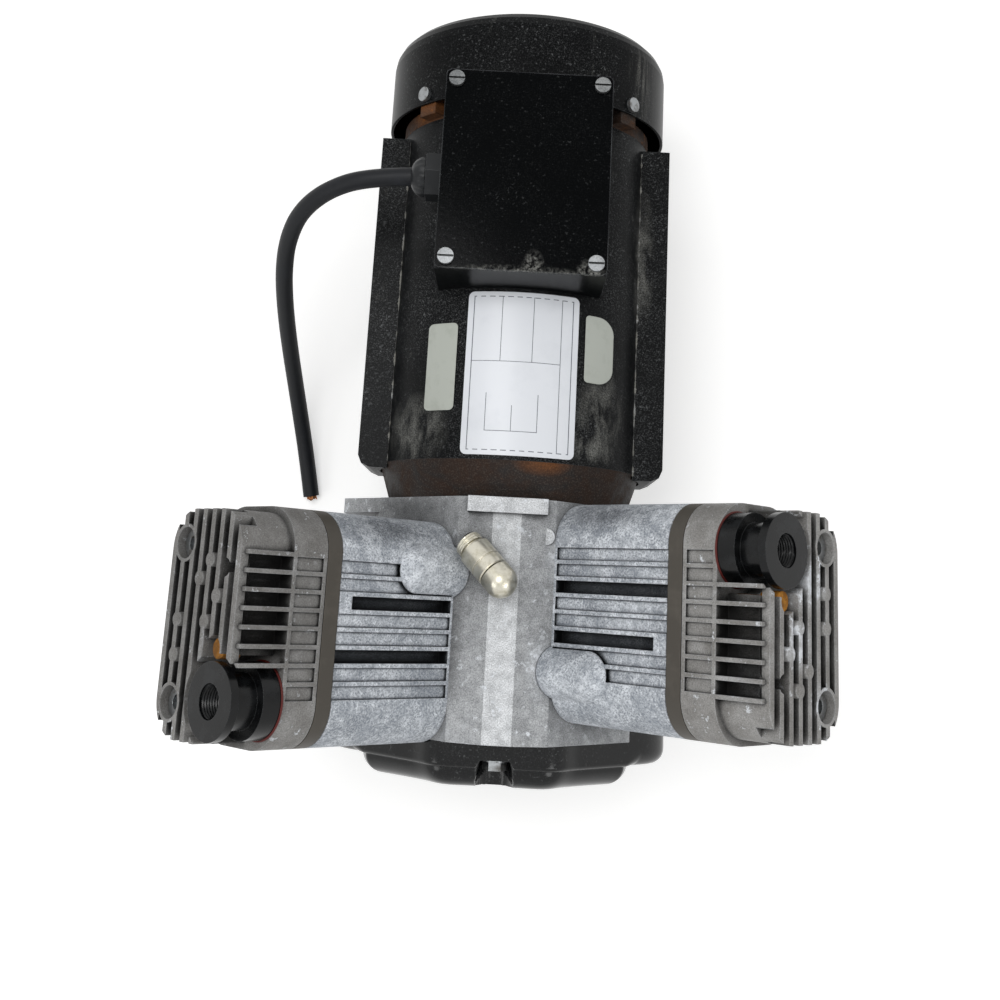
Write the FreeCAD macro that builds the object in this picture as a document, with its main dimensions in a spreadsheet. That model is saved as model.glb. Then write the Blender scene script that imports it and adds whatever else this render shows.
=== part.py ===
import FreeCAD, Part
import Sketcher
import math
import os
import re

# Oil-free V-twin dental compressor. Millimetres. +Z up, +Y from the front cover to the fan.
# The origin is the centre of the four foot holes, on the plane that the rubber feet rest on.

SIZE = {
    # where it stands
    "axis_height": 96,          # crank and motor axis above the floor
    "foot_pitch_x": 150,
    "foot_pitch_y": 200,
    "foot_radius": 13,
    "foot_height": 14,
    "foot_hole": 4.5,
    "foot_plate": 5,
    # running parts
    "throw": 8,                 # crankpin offset, half the stroke
    "crankpin_radius": 8.5,
    "web_radius": 24,
    "web_thick": 12,
    "hub_radius": 17,
    "hub_length": 14,
    "crank_clearance": 8,       # between the counterweight and the bore of the case
    "rod_length": 94.5,         # crankpin centre to wrist pin centre
    "rod_thick": 12,
    "rod_shank": 11,
    "big_end": 25,
    "small_end": 6.5,
    "small_end_thick": 10,
    "rod_bearing_outer": 20,
    "wrist_pin_radius": 3.5,
    "wrist_pin_length": 18,
    "piston_length": 42,
    "piston_wall": 2.2,
    "crown_thick": 6,
    "crown_clearance": 1,       # crown to valve plate at top dead centre
    "ring_width": 3,
    "ring_depth": 1.4,
    "ring_gap": 0.06,           # ring to bore, running
    "piston_gap": 0.3,          # piston skirt to bore
    "pin_gap": 0.05,            # running fits of shafts in their bearings
    "pin_screw": 3.5,
    "fixed_gap": 0.1,           # fixed pieces in their holes
    # cylinder banks, measured along each bank's own axis from the crank axis
    "bank_angle": 90,
    "bank_offset": 6.2,         # each bank from the middle, along the shaft
    "deck_height": 64,
    "bore_radius": 24,
    "bank_width": 60,
    "bank_length": 104,
    "bank_corner": 20,
    "barrel_length": 69,
    "gasket_thick": 0.5,
    "plate_thick": 7.7,
    "head_height": 43.8,
    "head_rim": 18.3,
    "head_step": 3,
    "fin_pitch": 7.75,
    "fin_thick": 1.9,
    "fin_relief": 1.2,
    "slot_depth": 6,
    "slot_stop": 8.5,
    "top_fin_pitch": 7.2,
    "top_fin_thick": 3,
    "top_fin_depth": 9,
    "rib_gap_depth": 9,
    "bolt_x": 17,
    "bolt_y": 34,
    "bolt_radius": 4,
    "bolt_head_radius": 6.4,
    "bolt_head_height": 8,
    "bolt_recess": 12,
    "bolt_reach": 10,
    "passage_radius": 13,
    "passage_x": 24,
    "passage_y": 28,
    "passage_end": 90,
    "chamber_x": 38,
    "chamber_y": 26,
    "chamber_wall": 2,          # half of the wall between the chambers
    "reed_y": 10,
    "reed_length": 14,
    "reed_thick": 0.3,
    "inlet_x": 16,
    "inlet_y": 24,
    "port_x": 15,
    "port_y": 31,
    "port_pocket": 20,
    "port_thread": 7.45,
    "port_depth": 16,
    "port_flange": 16.3,
    "port_flange_thick": 4,
    "port_waist": 12,
    "port_body_length": 10,
    "port_length": 26,
    "port_passage": 4,
    "port_screw": 2.5,
    "port_screw_head": 4.4,
    # crankcase and front cover
    "case_front": 56,           # crank centre to the case's front face
    "case_rear": 58.6,          # crank centre to the motor flange face
    "deck_wall": 8,             # between the deck and the bore of the case
    "case_half": 70,
    "case_bottom": 72,
    "flange_thick": 7.5,
    "flange_half": 88,
    "flange_hole": 31,
    "roof_rise": 8,             # of the roof over the height of the decks
    "roof_flat": 14,
    "cover_depth": 12,
    "cover_skirt": 18,
    "cover_wall": 3,
    "cover_top": 60,
    "dome_radius": 68,
    "dome_height": 9,
    "cover_bolt_radius": 3,
    "cover_bolt_head": 5.8,
    "valve_stem": 4.5,
    "valve_radius": 7.5,
    "valve_length": 38,
    "valve_setback": 22,        # in front of the motor flange face
    "valve_lean": 23,           # how far it runs across for each valve_climb upwards
    "valve_climb": 14,
    # motor
    "bell_length": 18.4,
    "shell_radius": 70,
    "shell_wall": 2.5,
    "shell_length": 183,
    "rear_shield_length": 8,
    "shaft_radius": 10,
    "shaft_tail": 8.5,
    "front_bearing_outer": 23.5,
    "front_bearing_width": 14,
    "rear_bearing_outer": 20,
    "rear_bearing_width": 12,
    "stator_start": 48,         # from the shell's front edge
    "stator_length": 90,
    "stator_depth": 26.5,       # of the iron, from the shell inwards
    "winding_overhang": 17,
    "air_gap": 0.4,
    "tie_bolt_inset": 9.5,      # in from the outside of the shell
    "tie_bolt_radius": 2.4,
    "cowl_gap": 8.5,            # out from the outside of the shell
    "cowl_wall": 1.5,
    "cowl_start": 7,            # behind the shell's rear edge
    "cowl_length": 50,
    "cowl_shoulder": 14,
    "fan_inset": 6,             # in from the outside of the shell
    "fan_hub": 14,
    "fan_width": 22,
    "channel_reach": 10,        # out from the outside of the shell
    "channel_height": 56,
    "channel_length": 182,
    "channel_wall": 1.5,
    # terminal box and cord
    "box_width": 84,
    "box_length": 103,
    "box_rise": 34,             # above the top of the shell
    "box_wall": 2,
    "lid_thick": 2,
    "lid_screw_inset": 5.5,
    "gland_rise": 16,           # above the top of the shell
    "gland_hex_length": 8,
    "gland_nut_length": 7,
    "gland_flats": 10.8,
    "cord_radius": 4.75,
    "label_thick": 0.4,
    "label_width": 57,
    "label_shift": 3,
    "side_label_width": 15.5,
    "label_start": 2,
    "label_gap": 2,             # between the main label and the box
}

# Sizes that follow the decks, the motor shell and the terminal box
FOLLOWS = {
    "roof_height": "(deck_height + roof_rise)",
    "case_bore": "(deck_height - deck_wall)",
    "counterweight_radius": "(deck_height - deck_wall - crank_clearance)",
    "stator_bore": "(shell_radius - shell_wall - stator_depth)",
    "tie_bolt_circle": "(shell_radius - tie_bolt_inset)",
    "cowl_radius": "(shell_radius + cowl_gap)",
    "fan_radius": "(shell_radius - fan_inset)",
    "channel_half": "(shell_radius + channel_reach)",
    "box_top": "(shell_radius + box_rise)",
    "gland_height": "(shell_radius + gland_rise)",
    "label_length": "(shell_length + cowl_start - box_length - label_start - label_gap)",
}

doc = FreeCAD.newDocument("DentalCompressor")
sheet = doc.addObject("Spreadsheet::Sheet", "Sizes")
for row, (alias, number) in enumerate(SIZE.items(), start=1):
    sheet.set("A%d" % row, alias)
    sheet.set("B%d" % row, str(number))
    sheet.setAlias("B%d" % row, alias)
doc.recompute()

V = FreeCAD.Vector
PIECES = []


def words(formula):
    """The formula with the sizes that follow others written out, and each size looked up."""
    text = re.sub(r"[a-z][a-z_0-9]*", lambda m: FOLLOWS.get(m.group(0), m.group(0)), str(formula))
    return re.sub(r"[a-z][a-z_0-9]*", lambda m: "Sizes." + m.group(0) if m.group(0) in SIZE else m.group(0), text)


def bind(thing, formulas):
    for prop, formula in formulas.items():
        thing.setExpression(prop, words(formula))
    return thing


def place(thing, start):
    return bind(thing, {"Placement.Base." + axis: formula for axis, formula in zip("xyz", start)})


ALONG = {
    "x": FreeCAD.Rotation(V(0, 1, 0), 90),
    "y": FreeCAD.Rotation(V(1, 0, 0), -90),
    "z": FreeCAD.Rotation(),
}
PLANES = {"x": "YZ_Plane", "y": "XZ_Plane", "z": "XY_Plane"}


def box(name, start, span):
    thing = doc.addObject("Part::Box", name)
    bind(thing, dict(zip(("Length", "Width", "Height"), span)))
    return place(thing, start)


def rod(name, radius, length, start, along="z"):
    thing = doc.addObject("Part::Cylinder", name)
    thing.Placement.Rotation = ALONG[along]
    bind(thing, {"Radius": radius, "Height": length})
    return place(thing, start)


def ball(name, radius, start):
    thing = doc.addObject("Part::Sphere", name)
    bind(thing, {"Radius": radius})
    return place(thing, start)


def fused(name, things):
    thing = doc.addObject("Part::MultiFuse", name)
    thing.Shapes = things
    thing.Refine = True
    return thing


def cut(name, base, tools):
    thing = doc.addObject("Part::Cut", name)
    thing.Base = base
    thing.Tool = tools[0] if len(tools) == 1 else fused(name + "Tools", tools)
    return thing


def common(name, base, tool):
    thing = doc.addObject("Part::Common", name)
    thing.Base = base
    thing.Tool = tool
    return thing


def ring(name, outer, inner, length, start, along="z"):
    return cut(name, rod(name + "Outer", outer, length, start, along), [rod(name + "Inner", inner, length, start, along)])


def outline(body, name, plane, points):
    """A closed sketch of straight lines whose corners are bound to formulas."""
    sketch = body.newObject("Sketcher::SketchObject", name)
    sketch.AttachmentSupport = [(next(o for o in body.Origin.OriginFeatures if o.Role == plane), "")]
    sketch.MapMode = "FlatFace"
    count = len(points)
    guess = [V(50 * math.cos(2 * math.pi * i / count), 50 * math.sin(2 * math.pi * i / count), 0) for i in range(count)]
    for i in range(count):
        sketch.addGeometry(Part.LineSegment(guess[i], guess[(i + 1) % count]), False)
    for i in range(count):
        sketch.addConstraint(Sketcher.Constraint("Coincident", i, 2, (i + 1) % count, 1))
    for i, point in enumerate(points):
        for kind, start, formula in (("DistanceX", guess[i].x, point[0]), ("DistanceY", guess[i].y, point[1])):
            index = sketch.addConstraint(Sketcher.Constraint(kind, -1, 1, i, 1, start))
            sketch.setExpression("Constraints[%d]" % index, words(formula))
    return sketch


def turned(name, points, along="y", height="axis_height"):
    """A turned piece: a profile of (radius, distance along the axis) points."""
    body = doc.addObject("PartDesign::Body", name)
    sketch = outline(body, name + "Profile", "XY_Plane" if along == "y" else "XZ_Plane", points)
    turn = body.newObject("PartDesign::Revolution", name + "Turn")
    turn.Profile = sketch
    turn.ReferenceAxis = (sketch, ["V_Axis"])
    turn.Angle = 360
    if along == "y":
        bind(body, {"Placement.Base.z": height})
    return body


def prism(name, points, along, start, length, height="0"):
    """A plate or bar: an outline pushed along one axis from start."""
    body = doc.addObject("PartDesign::Body", name)
    sketch = outline(body, name + "Outline", PLANES[along], points)
    pad = body.newObject("PartDesign::Pad", name + "Pad")
    pad.Profile = sketch
    pad.Reversed = along == "y"
    bind(pad, {"Length": length})
    bind(body, {"Placement.Base." + along: start})
    if along != "z":
        bind(body, {"Placement.Base.z": height})
    return body


def soften(body, radius, chosen):
    """Rounds the edges of a body that chosen(edge) picks."""
    doc.recompute()
    base = body.Tip
    names = ["Edge%d" % (i + 1) for i, edge in enumerate(base.Shape.Edges) if chosen(edge)]
    fillet = body.newObject("PartDesign::Fillet", body.Name + "Round%d" % len(body.Group))
    fillet.Base = (base, names)
    bind(fillet, {"Radius": radius})
    body.Tip = fillet
    return body


def upright(edge):
    way = edge.Vertexes[-1].Point - edge.Vertexes[0].Point
    return abs(way.z) > 0.99 * way.Length and way.Length > 0


def rounded_block(name, width, length, start, height, corner):
    half_x = "(%s) / 2" % width
    half_y = "(%s) / 2" % length
    corners = [("0 - " + half_x, "0 - " + half_y), (half_x, "0 - " + half_y), (half_x, half_y), ("0 - " + half_x, half_y)]
    body = prism(name, corners, "z", start, height)
    return soften(body, corner, upright)


def around(name, make, count, first=0):
    """Copies of a thing turned about the motor axis, equally spaced."""
    copies = []
    for i in range(count):
        thing = make("%s%d" % (name, i + 1))
        holder = doc.addObject("Part::Compound", thing.Name + "Turned")
        holder.Links = [thing]
        turn = FreeCAD.Rotation(V(0, 1, 0), first + 360 * i / count)
        holder.Placement = FreeCAD.Placement(V(0, 0, 0), turn, V(0, 0, SIZE["axis_height"]))
        copies.append(holder)
    return copies


def piece(label, thing):
    thing.Label = label
    PIECES.append(thing)
    return thing


def grouped(label, things):
    thing = doc.addObject("Part::Compound", label.replace("_", " ").title().replace(" ", "") + "Group")
    thing.Links = things
    return piece(label, thing)


# Places along the shaft that several pieces share
CRANK_Y = "(0 - foot_pitch_y / 2)"
CASE_FRONT = "(0 - foot_pitch_y / 2 - case_front)"
FLANGE_FACE = "(0 - foot_pitch_y / 2 + case_rear)"
SHELL_START = "(0 - foot_pitch_y / 2 + case_rear + bell_length)"
SHELL_END = "(0 - foot_pitch_y / 2 + case_rear + bell_length + shell_length)"
WEB_FRONT = "(0 - foot_pitch_y / 2 + bank_offset + rod_thick / 2 + 1.3)"
WEB_BACK = "(0 - foot_pitch_y / 2 + bank_offset + rod_thick / 2 + 1.3 + web_thick)"
TIE_TURN = 45                   # the tie bolts and cowl screws sit between the quarters
SHAFT_Y = -SIZE["foot_pitch_y"] / 2

# Places along a cylinder bank
BARREL_TOP = "(deck_height + barrel_length)"
PLATE_START = "(deck_height + barrel_length + gasket_thick)"
HEAD_START = "(deck_height + barrel_length + 2 * gasket_thick + plate_thick)"
HEAD_TOP = "(deck_height + barrel_length + 2 * gasket_thick + plate_thick + head_height)"
RIM_TOP = "(deck_height + barrel_length + 2 * gasket_thick + plate_thick + head_rim)"
BOLT_SEAT = "(deck_height + barrel_length + 2 * gasket_thick + plate_thick + head_height - bolt_recess)"
PORT_SCREW_SPOT = ("0 - port_x + 2", "port_y - port_flange - port_screw_head - 0.6")
PORT_SCREW_SEAT = BOLT_SEAT
ENDS = ("-", "+")


def bank_placement(side):
    """The bank frame: z out along the cylinder, x away from the top, y along the shaft."""
    half = SIZE["bank_angle"] / 2
    if side == "right":
        turn = FreeCAD.Rotation(V(0, 1, 0), half)
        shift = SIZE["bank_offset"]
    else:
        turn = FreeCAD.Rotation(V(0, 1, 0), -half) * FreeCAD.Rotation(V(0, 0, 1), 180)
        shift = -SIZE["bank_offset"]
    return FreeCAD.Placement(V(0, SHAFT_Y + shift, SIZE["axis_height"]), turn)


def on_bank(side, name, things):
    holder = doc.addObject("Part::Compound", side.title() + name)
    holder.Links = things
    holder.Placement = bank_placement(side)
    return holder


def bolt_holes(name, start, length):
    """The two long bolt holes and the inlet passage that run through the bank."""
    holes = [rod("%s%d" % (name, i), "bolt_radius + fixed_gap", length, ("bolt_x", "0 %s bolt_y" % end, start))
             for i, end in enumerate(ENDS)]
    return holes + [rod(name + "Inlet", "port_passage", length, ("0 - inlet_x", "0 - inlet_y", start))]


def nose(tag, radius):
    """The round-ended air passage beside the bore."""
    spot = ("0 - passage_x", "0 - passage_y")
    return [
        rod(tag + "Nose", radius, "passage_end - deck_height - 2", spot + ("deck_height + 1",)),
        ball(tag + "NoseFront", radius, spot + ("deck_height + 1",)),
        ball(tag + "NoseBack", radius, spot + ("passage_end - 1",)),
    ]


def barrel(side):
    """The finned cylinder casting, with its air passage nose beside the bore."""
    tag = side.title() + "Barrel"
    block = rounded_block(tag + "Block", "bank_width", "bank_length", "deck_height", "barrel_length", "bank_corner")
    tools = [rod(tag + "Bore", "bore_radius", "barrel_length + 40", ("0", "0", "deck_height - 20"))]
    tools += bolt_holes(tag + "Hole", "deck_height - 1", "barrel_length + 2")
    for face, edge in (("Top", "0 - bank_width / 2 - 1"), ("Low", "bank_width / 2 - %s")):
        for i in range(8):
            deep = i in (2, 5)
            depth = "slot_depth" if deep else "fin_relief"
            begin = "(%d * fin_pitch + fin_thick / 2)" % (i - 4)
            stop = "barrel_length - slot_stop" if i == 2 else "barrel_length - 1.5"
            start_x = edge if face == "Top" else edge % depth
            tools.append(box("%sGroove%s%d" % (tag, face, i), (start_x, begin, "deck_height + 1.5"),
                             (depth + " + 1", "fin_pitch - fin_thick", stop)))
    return cut(tag, fused(tag + "Casting", [block] + nose(tag, "passage_radius")), tools)


def valve_plate(side):
    tag = side.title() + "Plate"
    block = rounded_block(tag + "Block", "bank_width", "bank_length", PLATE_START, "plate_thick", "bank_corner")
    tools = bolt_holes(tag + "Hole", PLATE_START + " - 1", "plate_thick + 2")
    for way, sign in (("Suction", "-"), ("Delivery", "+")):
        tools.append(rod(tag + way, "port_passage", "plate_thick + 2", ("0", "0 %s reed_y" % sign, PLATE_START + " - 1")))
    return cut(tag, block, tools)


def gasket(side, which, start, opening):
    """A thin sheet gasket that follows the casting and leaves the middle open."""
    tag = side.title() + which
    block = rounded_block(tag + "Block", "bank_width - 1", "bank_length - 1", start, "gasket_thick", "bank_corner")
    tools = bolt_holes(tag + "Hole", start + " - 1", "gasket_thick + 2")
    return cut(tag, block, tools + opening(tag + "Open", start))


def round_opening(name, start):
    return [rod(name, "bore_radius", "gasket_thick + 2", ("0", "0", start + " - 1"))]


def chamber_opening(name, start):
    return chambers(name, start + " - 1", "gasket_thick + 2")


def chambers(name, start, depth):
    """The inlet and outlet chambers, one each side of a middle wall."""
    spans = (("In", "0 - chamber_wall - chamber_y"), ("Out", "chamber_wall"))
    return [box(name + way, ("0 - chamber_x / 2", begin, start), ("chamber_x", "chamber_y", depth))
            for way, begin in spans]


def head(side):
    """The finned head: a ribbed rim, open ribs above it, and rounded fins across the top."""
    tag = side.title() + "Head"
    rim = rounded_block(tag + "Rim", "bank_width", "bank_length", HEAD_START, "head_rim", "bank_corner")
    upper = rounded_block(tag + "Upper", "bank_width - 2 * head_step", "bank_length - 2 * head_step",
                          RIM_TOP + " - 1", "head_height - head_rim + 1", "bank_corner - head_step")
    ribs = []
    tools = []
    for face, sign in (("Top", "-"), ("Low", "+")):
        outer = "0 - bank_width / 2" if face == "Top" else "0"
        for i in range(9):
            rib_y = "(%d * fin_pitch - fin_thick / 2)" % (i - 4)
            ribs.append(box("%sRib%s%d" % (tag, face, i), (outer, rib_y, RIM_TOP + " - 1"),
                            ("bank_width / 2", "fin_thick", "head_height - head_rim - 1")))
        for i in range(8):
            begin = "(%d * fin_pitch + fin_thick / 2)" % (i - 4)
            pad_x = "0 - bank_width / 2 - 1" if face == "Top" else "bank_width / 2 - fin_relief"
            gap_x = "0 - bank_width / 2 - 1" if face == "Top" else "bank_width / 2 - rib_gap_depth"
            tools.append(box("%sPad%s%d" % (tag, face, i), (pad_x, begin, HEAD_START + " + 2"),
                             ("fin_relief + 1", "fin_pitch - fin_thick", "head_rim - 4")))
            tools.append(box("%sGap%s%d" % (tag, face, i), (gap_x, begin, RIM_TOP),
                             ("rib_gap_depth + 1", "fin_pitch - fin_thick", "head_height - head_rim - 4")))
    for i in range(7):
        begin = "(%g * top_fin_pitch + top_fin_thick / 2)" % (i - 3.5)
        tools.append(box("%sTopGroove%d" % (tag, i), (begin, "0 - bank_length / 2", HEAD_TOP + " - top_fin_depth"),
                         ("top_fin_pitch - top_fin_thick", "bank_length", "top_fin_depth + 1")))
    bosses = [rod("%sBoss%d" % (tag, i), "bolt_head_radius + 2", "top_fin_depth + 4",
                  ("bolt_x", "0 %s bolt_y" % end, HEAD_TOP + " - top_fin_depth - 4")) for i, end in enumerate(ENDS)]
    finned = cut(tag + "Finned", fused(tag + "Solid", [rim, upper] + ribs), tools)
    bossed = fused(tag + "Bossed", [finned] + bosses)
    inside = bolt_holes(tag + "Hole", HEAD_START + " - 1", "head_height + 2")
    inside += [rod("%sRecess%d" % (tag, i), "bolt_head_radius + 0.6", "bolt_recess + 1",
                   ("bolt_x", "0 %s bolt_y" % end, BOLT_SEAT)) for i, end in enumerate(ENDS)]
    inside += chambers(tag + "Chamber", HEAD_START + " - 1", "head_rim - 4")
    inside.append(rod(tag + "Pocket", "port_pocket", "head_height", ("0 - port_x", "port_y", RIM_TOP)))
    inside.append(rod(tag + "Way", "port_passage", "head_rim", ("0 - port_x", "port_y - port_passage - 2",
                                                                HEAD_START + " + 5")))
    inside.append(rod(tag + "ScrewHole", "port_screw + fixed_gap", "30", PORT_SCREW_SPOT + (RIM_TOP + " - 3",)))
    inside.append(rod(tag + "ScrewSeat", "port_screw_head + 1", "30", PORT_SCREW_SPOT + (PORT_SCREW_SEAT,)))
    return cut(tag, bossed, inside)


def port_fitting(side):
    """The black threaded air connector: two flanges on a waisted body."""
    base = RIM_TOP
    top = "(%s + port_length)" % base
    points = [
        ("port_passage", base),
        ("port_flange", base),
        ("port_flange", base + " + port_body_length"),
        ("port_waist", base + " + port_body_length"),
        ("port_waist", top + " - port_flange_thick"),
        ("port_flange", top + " - port_flange_thick"),
        ("port_flange", top),
        ("port_thread", top),
        ("port_thread", top + " - port_depth"),
        ("port_passage", top + " - port_depth"),
    ]
    body = turned(side.title() + "Fitting", points, "z")
    return place(body, ("0 - port_x", "port_y", "0"))


def port_screw(side):
    tag = side.title() + "PortScrew"
    return fused(tag, [
        rod(tag + "Shank", "port_screw", PORT_SCREW_SEAT + " - (%s - 3)" % RIM_TOP, PORT_SCREW_SPOT + (RIM_TOP + " - 3",)),
        rod(tag + "Head", "port_screw_head", "bolt_recess - 3", PORT_SCREW_SPOT + (PORT_SCREW_SEAT,)),
    ])


def head_bolts(side):
    tag = side.title() + "Bolt"
    bolts = []
    for i, end in enumerate(ENDS):
        spot = ("bolt_x", "0 %s bolt_y" % end)
        shank = rod("%sShank%d" % (tag, i), "bolt_radius", BOLT_SEAT + " - deck_height + bolt_reach",
                    spot + ("deck_height - bolt_reach",))
        top = rod("%sHead%d" % (tag, i), "bolt_head_radius", "bolt_head_height", spot + (BOLT_SEAT,))
        socket = rod("%sSocket%d" % (tag, i), "bolt_radius * 0.8", "bolt_head_height",
                     spot + (BOLT_SEAT + " + bolt_head_height / 2",))
        bolts.append(cut("%s%d" % (tag, i), fused("%sBlank%d" % (tag, i), [shank, top]), [socket]))
    return bolts


def reeds(side):
    """The inlet reed under the plate and the outlet reed on top of it."""
    tag = side.title() + "Reed"
    span = ("2 * port_passage + 2", "reed_length", "reed_thick")
    return [
        box(tag + "Suction", ("0 - port_passage - 1", "0 - reed_y - reed_length / 2", PLATE_START + " - reed_thick - 0.05"),
            span),
        box(tag + "Delivery", ("0 - port_passage - 1", "reed_y - reed_length / 2", HEAD_START + " - gasket_thick + 0.05"),
            span),
    ]


def deck_line(wide):
    """The height at which the deck plane stands over a given half width."""
    return "((deck_height - (%s) * sin(bank_angle / 2)) / cos(bank_angle / 2))" % wide


DECK_TOP_X = "(deck_height * sin(bank_angle / 2) - bank_width / 2 * cos(bank_angle / 2))"
DECK_TOP_Z = "(deck_height * cos(bank_angle / 2) + bank_width / 2 * sin(bank_angle / 2))"


def mirrored(half):
    """A closed outline from its right half, listed from the bottom to the top."""
    return half + [("0 - " + x, z) for x, z in reversed(half)]


def flange_outline(half, bottom, gap):
    """The wide flange shape: the two deck planes above, cut-off corners below."""
    return mirrored([
        ("(%s - 26)" % half, "0 - (%s)" % bottom),
        ("(%s)" % half, "0 - (%s) + 30" % bottom),
        ("(%s)" % half, deck_line(half) + " - %s" % gap),
        (DECK_TOP_X, "%s - %s" % (DECK_TOP_Z, gap)),
    ])


def core_outline():
    return mirrored([
        ("(case_half - 22)", "0 - case_bottom"),
        ("case_half", "0 - case_bottom + 22"),
        ("case_half", "%s - 8" % deck_line("case_half")),
        ("(deck_height * sin(bank_angle / 2) + bank_width / 2 * cos(bank_angle / 2))",
         "(deck_height * cos(bank_angle / 2) - bank_width / 2 * sin(bank_angle / 2))"),
        (DECK_TOP_X, DECK_TOP_Z),
        ("(roof_flat / 2)", "roof_height"),
    ])


def both_banks(name, make):
    return [on_bank(side, name, make(side.title() + name)) for side in ("left", "right")]


def crankcase():
    core = prism("CaseCore", core_outline(), "y", CASE_FRONT, "case_front + case_rear", "axis_height")
    rear = prism("CaseRearFlange", flange_outline("flange_half", "case_bottom", "0.5"), "y",
                 FLANGE_FACE + " - flange_thick", "flange_thick", "axis_height")
    front = prism("CaseFrontFlange", cover_outline("cover_wall + 0.8"), "y", CASE_FRONT, "flange_thick", "axis_height")
    hump = box("CaseHump", ("0 - roof_flat * 1.4", FLANGE_FACE + " - flange_thick", "axis_height + case_bore"),
               ("roof_flat * 2.8", "flange_thick", "roof_height - case_bore + 3"))
    feet = box("CaseFeet", ("0 - foot_pitch_x / 2 - foot_radius", CRANK_Y + " - foot_radius - 2", "foot_height"),
               ("foot_pitch_x + 2 * foot_radius", "2 * foot_radius + 4", "axis_height - case_bottom - foot_height + 2"))
    locating_boss = rod("CaseBoss", "4", "axis_height", ("roof_flat * 1.4", CRANK_Y + " + 41", "roof_height - 4"))
    hollow = rod("CaseBore", "case_bore", "case_front + case_rear - flange_thick + 1", ("0", CASE_FRONT + " - 1", "axis_height"), "y")
    bolt_boss = rod("CaseBoltBoss", "8", "14", ("0", CASE_FRONT, "axis_height + cover_top - 10"), "y")
    solid = fused("CaseSolid", [cut("CaseHollow", fused("CaseBlock", [core, rear, front, hump, feet, locating_boss]), [hollow]), bolt_boss])
    tools = [
             rod("CaseMotorHole", "flange_hole", "flange_thick + 2", ("0", FLANGE_FACE + " - flange_thick - 1", "axis_height"), "y"),
             rod("CaseValveHole", "valve_stem + fixed_gap", "20", VALVE_FOOT + ("axis_height + case_bore + 2",))]
    tools += both_banks("DeckHole", lambda tag: [rod(tag, "bore_radius", "deck_height / 2 + 1", ("0", "0", "deck_height / 2"))])
    tools += both_banks("DeckThread", lambda tag: bolt_holes(tag, "deck_height - bolt_reach - 1", "bolt_reach + 2"))
    tools += both_banks("DeckNose", lambda tag: [fused(tag + "Whole", nose(tag, "passage_radius + 0.3"))])
    for i, sx in enumerate(ENDS):
        tools.append(rod("CaseFootHole%d" % i, "foot_hole", "axis_height - case_bottom - foot_height + 4",
                         ("0 %s foot_pitch_x / 2" % sx, CRANK_Y, "foot_height - 1")))
    tools += tie_holes("CaseTie", FLANGE_FACE + " - flange_thick - 1", "flange_thick + 2")
    tools += [rod("CaseCoverThread%d" % i, "cover_bolt_radius + fixed_gap", "flange_thick + 1", (x, CASE_FRONT + " - 1", "axis_height + (%s)" % z), "y")
              for i, (x, z) in enumerate(COVER_BOLTS)]
    return piece("crankcase", cut("Crankcase", solid, tools))


def tie_holes(name, start, length):
    return around(name, lambda tag: rod(tag, "tie_bolt_radius + fixed_gap", length, ("0", start, "axis_height + tie_bolt_circle"), "y"),
                  4, TIE_TURN)


def front_cover():
    """A pressed cover: a skirt round the case front, a flat face and a low dome."""
    face = CASE_FRONT + " - cover_depth"
    outer = prism("CoverOuter", cover_outline("0"), "y", face, "cover_depth + cover_skirt", "axis_height")
    inner = prism("CoverInner", cover_outline("cover_wall"), "y", face + " + cover_wall", "cover_depth + cover_skirt", "axis_height")
    dome = turned("CoverDome", [
        ("0", face + " + cover_wall"), ("0", face + " - dome_height"), ("(dome_radius - 7)", face + " - dome_height"),
        ("(dome_radius - 2)", face + " - dome_height + 3"), ("dome_radius", face + " - dome_height + 8"),
        ("dome_radius", face + " + cover_wall"),
    ])
    hollow = turned("CoverDomeInside", [
        ("0", face + " + cover_wall + 1"), ("0", face + " - dome_height + cover_wall"),
        ("(dome_radius - 9)", face + " - dome_height + cover_wall"), ("(dome_radius - cover_wall)", face),
        ("(dome_radius - cover_wall)", face + " + cover_wall + 1"),
    ])
    lid = common("CoverDomeTrimmed", dome, prism("CoverDomeLimit", cover_outline("1"), "y", face + " - 20", "60", "axis_height"))
    core = prism("CoverCoreSpace", core_outline(), "y", CASE_FRONT, "cover_skirt + 2", "axis_height + 0.4")
    pads = [rod("CoverPad%d" % i, "cover_bolt_head + 3", "cover_depth", (x, face, "axis_height + (%s)" % z), "y")
            for i, (x, z) in enumerate(COVER_BOLTS)]
    room = common("CoverDomeRoom", hollow, prism("CoverRoomLimit", cover_outline("cover_wall + 1"), "y", face + " - 20", "60", "axis_height"))
    shell = cut("CoverShell", fused("CoverSolid", [outer, lid]), [inner, room])
    tools = [core, box("CoverTopNotch", ("0 - cover_bolt_head - 1.4", face + " - dome_height - 1", "axis_height + cover_top - 10"),
                       ("2 * cover_bolt_head + 2.8", "dome_height + 5", "30"))]
    for i, (x, z) in enumerate(COVER_BOLTS):
        spot = (x, face + " - dome_height - 1", "axis_height + (%s)" % z)
        tools.append(rod("CoverBoltHole%d" % i, "cover_bolt_radius + fixed_gap", "cover_depth + dome_height + 2", spot, "y"))
        tools.append(rod("CoverBoltSeat%d" % i, "cover_bolt_head + 1.4", "dome_height + 5", spot, "y"))
    return piece("front_cover", cut("FrontCover", fused("CoverPadded", [shell] + pads), tools))


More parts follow.
